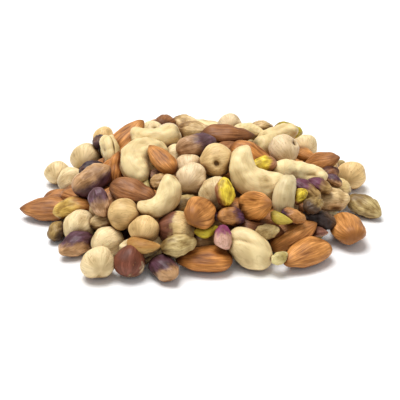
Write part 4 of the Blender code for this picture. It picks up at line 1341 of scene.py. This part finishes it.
@dataclass
class NutPiece:
    """One piece of the heap: all the nuts of one or two kinds, set out from their forms."""

    name: str
    forms: list[NutForms]
    finish: NutFinish
    unevenness: float = 0.25 * MM
    lump_size: float = 6 * MM
    stretch: float = 0.04
    clearance: float = 0.1 * MM
    settles_within: float = 1.2 * MM
    unseen_shades: tuple[float, float] = (-0.5, 0.3)
    bare_to_viewer: float = 0.35

    def build(self, nuts: list[Nut]) -> bpy.types.Object:
        """Makes the piece.

        Args:
            nuts: all the nuts of the heap, of which it takes its own kinds'.

        Returns:
            One plain mesh object at the origin, with its finish.
        """
        own = [nut for nut in nuts if nut.kind in [forms.kind for forms in self.forms]]
        shelf = bpy.data.collections.new(f"{self.name} forms")
        made, starts = [], {}
        for forms in self.forms:
            starts[forms.kind.name] = len(made)
            made += [forms.build(number) for number in range(forms.count)]
        for number, form in enumerate(made):
            form.name = f"form {number:02d}"
            shelf.objects.link(form)
        points = self.points_object(own, made, starts)
        bpy.context.scene.collection.objects.link(points)
        scatter = points.modifiers.new("set out nuts", "NODES")
        scatter.node_group = self.scatter_tree()
        values = {
            "Forms": shelf, "Unevenness": self.unevenness, "Lump size": self.lump_size,
            "Finish": self.finish.build(),
        }
        for socket in scatter.node_group.interface.items_tree:
            if socket.name in values:
                scatter[socket.identifier] = values[socket.name]
        evaluated = points.evaluated_get(bpy.context.evaluated_depsgraph_get())
        mesh = bpy.data.meshes.new_from_object(evaluated)
        mesh.name = self.name
        piece = bpy.data.objects.new(self.name, mesh)
        for helper in ("form", "turning", "stretch"):
            if helper in mesh.attributes:
                mesh.attributes.remove(mesh.attributes[helper])
        bpy.data.objects.remove(points)
        for form in made:
            bpy.data.objects.remove(form)
        bpy.data.collections.remove(shelf)
        bpy.context.scene.collection.objects.link(piece)
        log.info("%s: %d nuts, %d faces", self.name, len(own), len(mesh.polygons))
        return piece

    def points_object(self, nuts: list[Nut], made: list[bpy.types.Object], starts: dict) -> bpy.types.Object:
        """A mesh of one point for each nut, with its form, turning, size and look."""
        random = np.random.default_rng([LOOK_SEED, len(self.name)])
        middles, rows = [], []
        counts = {forms.kind.name: forms.count - forms.asked_only for forms in self.forms}
        for nut in nuts:
            spot, kind = nut.spot, nut.kind
            form = int(random.integers(counts[kind.name]))
            if spot and spot.form is not None:
                form = spot.form
            form += starts[kind.name]
            stretch = nut.size * (1 + random.uniform(-self.stretch, self.stretch, 3))
            coat = (spot.coat if spot and spot.coat else kind.coats[random.integers(len(kind.coats))]).value
            shade = spot.shade if spot else random.uniform(*self.unseen_shades)
            way = unit(random.normal(size=3))
            if spot and spot.bare is not None:
                way = unit(VIEW.way(spot.bare) + self.bare_to_viewer * VIEW.to_viewer)
            middles.append(self.settled(nut, made[form].data, stretch))
            rows.append({
                "form": form,
                "turning": tuple(Matrix(nut.turning.tolist()).to_euler("XYZ")),
                "stretch": tuple(stretch),
                "nut_seed": random.uniform(0, 1),
                "shade": shade,
                "skin_share": coat.share,
                "skin_colour": linear(coat.skin),
                "flesh_colour": linear(coat.flesh),
                "bare_way": tuple(way @ nut.turning),
            })
        mesh = bpy.data.meshes.new(f"{self.name} points")
        mesh.from_pydata(middles, [], [])
        for name in rows[0]:
            values = [row[name] for row in rows]
            if isinstance(values[0], tuple):
                NutForms.attribute(mesh, name, np.array(values))
            else:
                data_type = "INT" if name == "form" else "FLOAT"
                mesh.attributes.new(name, data_type, "POINT").data.foreach_set("value", values)
        return bpy.data.objects.new(mesh.name, mesh)

    def settled(self, nut: Nut, form: bpy.types.Mesh, stretch: np.ndarray) -> tuple[float, ...]:
        """A nut's middle, moved up or down so that one near the floor just stands on it."""
        corners = np.empty(len(form.vertices) * 3, dtype=np.float32)
        form.vertices.foreach_get("co", corners)
        lowest = float((corners.reshape(-1, 3) * stretch @ nut.turning.T + nut.middle)[:, 2].min())
        middle = nut.middle.copy()
        if lowest < self.settles_within:
            middle[2] += self.clearance + self.unevenness / 2 - lowest
        return tuple(middle)

    def scatter_tree(self) -> bpy.types.NodeTree:
        """The node tree that sets a form on each point, joins them and makes each a little uneven."""
        tree = bpy.data.node_groups.new(f"{self.name} set out", "GeometryNodeTree")
        for name, kind in (
            ("Geometry", "Geometry"), ("Forms", "Collection"), ("Unevenness", "Float"),
            ("Lump size", "Float"), ("Finish", "Material"),
        ):
            tree.interface.new_socket(name=name, in_out="INPUT", socket_type=f"NodeSocket{kind}")
        tree.interface.new_socket(name="Geometry", in_out="OUTPUT", socket_type="NodeSocketGeometry")
        nodes = NodeMaker(tree)

        def named(name: str, data_type: str) -> Socket:
            """Reads an attribute of the points."""
            return nodes.add("GeometryNodeInputNamedAttribute", {"data_type": data_type}, {"Name": name})

        given = nodes.add("NodeGroupInput", {}, {}).node.outputs
        shelf = nodes.add("GeometryNodeCollectionInfo", {}, {
            "Collection": given["Forms"], "Separate Children": True, "Reset Children": True,
        })
        placed = nodes.add("GeometryNodeInstanceOnPoints", {}, {
            "Points": given["Geometry"], "Instance": shelf, "Pick Instance": True,
            "Instance Index": named("form", "INT"),
            "Rotation": nodes.add("FunctionNodeEulerToRotation", {}, {0: named("turning", "FLOAT_VECTOR")}),
            "Scale": named("stretch", "FLOAT_VECTOR"),
        })
        joined = nodes.add("GeometryNodeRealizeInstances", {}, {0: placed})
        noise = nodes.add("ShaderNodeTexNoise", {"noise_dimensions": "4D"}, {
            "Vector": nodes.add("GeometryNodeInputPosition", {}, {}),
            "W": nodes.math("MULTIPLY", named("nut_seed", "FLOAT"), LUMP_SEED_SPREAD),
            "Scale": nodes.math("DIVIDE", 1.0, given["Lump size"]),
            "Detail": 1.0,
        })
        height = nodes.math("MULTIPLY", nodes.math("SUBTRACT", noise, 0.5), given["Unevenness"])
        normal = nodes.add("GeometryNodeInputNormal", {}, {})
        offset = nodes.add("ShaderNodeVectorMath", {"operation": "SCALE"}, {0: normal, "Scale": height})
        uneven = nodes.add("GeometryNodeSetPosition", {}, {"Geometry": joined, "Offset": offset})
        smooth = nodes.add("GeometryNodeSetShadeSmooth", {}, {0: uneven, "Shade Smooth": True})
        dressed = nodes.add("GeometryNodeSetMaterial", {}, {0: smooth, "Material": given["Finish"]})
        nodes.add("NodeGroupOutput", {}, {0: dressed}, output=None)
        return tree


@dataclass
class HeapCore:
    """The inside of the heap, coloured dark as painted shade, which shows only as shade between the nuts."""

    rings: int = 40
    spokes: int = 96
    depth: float = 15 * MM
    edge_height: float = 0.8 * MM
    edge_inset: float = 21 * MM
    lump: float = 1.2 * MM
    lump_size: float = 9 * MM
    # Painted shade: the core's dark brown and lighter brown, mixed in a mottle of the size below.
    colour: str = "#3A2618"
    lighter_shade_colour: str = "#6B4A2E"
    crumb_size: float = 4 * MM

    def build(self, shape: HeapShape) -> bpy.types.Object:
        """Makes the core, a low lumpy dome with a flat underside."""
        random = np.random.default_rng(FORM_SEED)
        waves = Waves(random, self.lump_size)
        points = []
        for ring in range(self.rings + 1):
            for spoke in range(self.spokes if ring else 1):
                heading = 2 * math.pi * spoke / self.spokes
                way = np.array([math.cos(heading), math.sin(heading)])
                reach = (shape.reach_at(*way) - self.edge_inset) * ring / self.rings
                x, y = way * reach
                rise = self.lump * float(waves.at(np.array([x, y, 0.0])))
                height = max(self.edge_height, shape.top(x, y) - self.depth + rise)
                points.append((x, y, height if ring < self.rings else self.edge_height))
        rim = 1 + (self.rings - 1) * self.spokes
        foot = len(points)
        points += [(x, y, 0.0) for x, y, _ in points[rim:rim + self.spokes]]
        faces = [tuple(foot + spoke for spoke in reversed(range(self.spokes)))]
        for spoke in range(self.spokes):
            after = (spoke + 1) % self.spokes
            faces.append((0, 1 + spoke, 1 + after))
            faces.append((rim + spoke, foot + spoke, foot + after, rim + after))
            for ring in range(self.rings - 1):
                here, beyond = 1 + ring * self.spokes, 1 + (ring + 1) * self.spokes
                faces.append((here + spoke, beyond + spoke, beyond + after, here + after))
        mesh = bpy.data.meshes.new("heap_inside")
        mesh.from_pydata(points, [], faces)
        mesh.shade_smooth()
        mesh.materials.append(self.material())
        core = bpy.data.objects.new("heap_inside", mesh)
        bpy.context.scene.collection.objects.link(core)
        log.info("heap_inside: %d faces", len(faces))
        return core

    def material(self) -> bpy.types.Material:
        """A dark brown mottled colour: painted shade for the depths of the heap between the nuts."""
        material = bpy.data.materials.new("shaded crumbs")
        material.use_nodes = True
        nodes = NodeMaker(material.node_tree)
        where = nodes.add("ShaderNodeTexCoord", {}, {}, output=3)
        # A mottle between the two browns of the painted shade.
        shade_mottle = nodes.add("ShaderNodeTexNoise", {}, {
            "Vector": where, "Scale": 1 / self.crumb_size, "Detail": 4.0,
        })
        mixed = nodes.blend(shade_mottle, linear(self.colour), linear(self.lighter_shade_colour))
        nodes.link(mixed, nodes.shader.inputs["Base Color"])
        nodes.shader.inputs["Roughness"].default_value = MATT
        return material


@dataclass
class Stage:
    """A plain pale floor under broad soft light from above."""

    floor_half: float = 3.0
    floor_colour: str = "#FAFAFA"
    sky_strength: float = 0.42
    key_power: float = 14.0
    key_size: float = 0.7
    key_place: tuple[float, float, float] = (-0.22, 0.12, 1.15)
    front_power: float = 1.5
    front_size: float = 0.8
    front_place: tuple[float, float, float] = (0.3, -1.1, 0.8)

    def build(self) -> None:
        """Makes the floor, the sky and the lights."""
        half = self.floor_half
        mesh = bpy.data.meshes.new("floor")
        corners = [(-half, -half, 0), (half, -half, 0), (half, half, 0), (-half, half, 0)]
        mesh.from_pydata(corners, [], [(0, 1, 2, 3)])
        material = bpy.data.materials.new("matt white paper")
        material.use_nodes = True
        shader = material.node_tree.nodes["Principled BSDF"]
        shader.inputs["Base Color"].default_value = (*linear(self.floor_colour), 1.0)
        shader.inputs["Roughness"].default_value = MATT
        shader.inputs["Specular IOR Level"].default_value = 0.2
        mesh.materials.append(material)
        floor = bpy.data.objects.new("floor", mesh)
        bpy.context.scene.collection.objects.link(floor)
        world = bpy.data.worlds.new("soft sky")
        world.use_nodes = True
        sky = world.node_tree.nodes["Background"].inputs
        sky["Color"].default_value = (1, 1, 1, 1)
        sky["Strength"].default_value = self.sky_strength
        bpy.context.scene.world = world
        self.area_light("key", self.key_power, self.key_size, self.key_place)
        self.area_light("front", self.front_power, self.front_size, self.front_place)
        bpy.context.scene.view_settings.view_transform = "Standard"

    def area_light(self, name: str, power: float, size: float, place: tuple[float, float, float]) -> None:
        """Adds a square soft light that faces the heap."""
        data = bpy.data.lights.new(name, "AREA")
        data.energy = power
        data.size = size
        light = bpy.data.objects.new(name, data)
        light.location = place
        light.rotation_euler = Vector([-value for value in place]).to_track_quat("-Z", "Y").to_euler()
        bpy.context.scene.collection.objects.link(light)


# The brown skin of raw almonds: dry, papery and ridged by its veins, with a faint sheen.
ALMOND_SKIN = NutFinish(
    "almond skin", half_length=ALMOND.length / 2, mean_radius=5.5 * MM, streak_every=0.85 * MM,
    streak_contrast=0.6, mottle_size=6 * MM, mottle_contrast=0.2, skin_edge=0.08, skin_ragged=0.2,
    skin_zone=0.0, end_dark=0.62, dent_painted_shade=0.3, vein_depth=0.35 * MM, grain_depth=0.12 * MM,
    roughness=0.45, specular=0.32, subsurface=0.0, end_from=0.58,
)
# Raw cashew flesh: ivory, smooth and waxy, and light passes a little way into it.
CASHEW_FLESH = NutFinish(
    "cashew flesh", half_length=CASHEW.length / 2, mean_radius=5.7 * MM, streak_every=2.6 * MM,
    streak_contrast=0.05, mottle_size=5 * MM, mottle_contrast=0.06, skin_edge=0.5, skin_ragged=1.2,
    skin_zone=0.0, end_dark=0.1, dent_painted_shade=0.22, vein_depth=0.12 * MM, grain_depth=0.06 * MM,
    roughness=0.42, specular=0.3, subsurface=0.08, fleck_share=0.3, fleck_colour="#C08C4E",
    crease_dark=0.12,
)
# Blanched hazelnut flesh: cream, matt and finely lined, with shreds of brown skin left on it.
HAZELNUT_FLESH = NutFinish(
    "blanched hazelnut", half_length=HAZELNUT.length / 2, mean_radius=6.7 * MM, streak_every=1.2 * MM,
    streak_contrast=0.13, mottle_size=4.5 * MM, mottle_contrast=0.07, skin_edge=0.16, skin_ragged=1.5,
    skin_zone=0.8, end_dark=0.18, dent_painted_shade=0.28, vein_depth=0.14 * MM, grain_depth=0.06 * MM,
    roughness=0.45, specular=0.3, subsurface=0.06, fleck_share=0.5, fleck_colour="#A87040",
    skin_streak=0.36, crease_dark=0.26,
)
# The thin purple and tan skin of pistachio kernels, wrinkled, and torn where green flesh shows.
PISTACHIO_SKIN = NutFinish(
    "pistachio skin", half_length=PISTACHIO.length / 2, mean_radius=4.7 * MM, streak_every=1.3 * MM,
    streak_contrast=0.3, mottle_size=3.5 * MM, mottle_contrast=0.18, skin_edge=0.3, skin_ragged=1.1,
    skin_zone=0.95, end_dark=0.2, dent_painted_shade=0.45, vein_depth=0.3 * MM, grain_depth=0.08 * MM,
    roughness=0.42, specular=0.3, subsurface=0.0, crease_dark=0.4,
)
# Broken nut flesh: chalky, rough faces with rags of skin.
BROKEN_FLESH = NutFinish(
    "broken nut flesh", half_length=5 * MM, mean_radius=2.6 * MM, streak_every=1.4 * MM,
    streak_contrast=0.1, mottle_size=2.5 * MM, mottle_contrast=0.14, skin_edge=0.3, skin_ragged=1.2,
    skin_zone=0.7, end_dark=0.1, dent_painted_shade=0.25, vein_depth=0.12 * MM, grain_depth=0.08 * MM,
    roughness=0.55, specular=0.3, subsurface=0.1, crease_dark=0.3,
)


def heap_pieces() -> list[NutPiece]:
    """The pieces that the nuts are made as, one for each kind and one for the fragments."""
    return [
        NutPiece("almonds", [AlmondForms(ALMOND, 36, 52, 6)], ALMOND_SKIN),
        NutPiece("cashews", [CashewForms(CASHEW, 52, 40, 5), CurlForms(CURL, 60, 72, 1)], CASHEW_FLESH),
        NutPiece("hazelnuts", [HazelnutForms(HAZELNUT, 34, 52, 6, asked_only=1)], HAZELNUT_FLESH),
        NutPiece(
            "pistachios", [PistachioForms(PISTACHIO, 34, 40, 6, asked_only=1)], PISTACHIO_SKIN,
            lump_size=4 * MM,
        ),
        NutPiece(
            "fragments", [SliverForms(SLIVER, 20, 18, 4), ChipForms(CHIP, 20, 22, 6)], BROKEN_FLESH,
            unevenness=0.15 * MM, lump_size=3 * MM,
        ),
    ]


def main() -> None:
    """Lays out the heap, makes its pieces and sets the stage."""
    logging.basicConfig(level=logging.INFO, format="%(name)s: %(message)s")
    VIEW.camera()
    Stage().build()
    layout = HeapLayout()
    outer = layout.outer_nuts()
    nuts = outer + layout.sunk_nuts(outer)
    log.info("%d outer nuts, %d sunk", len(outer), len(nuts) - len(outer))
    pieces = [piece.build(nuts) for piece in heap_pieces()]
    pieces.append(HeapCore().build(layout.shape))
    for piece in pieces:
        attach(piece, BODY)
        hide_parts(NODE)


if __name__ == "__main__":
    main()
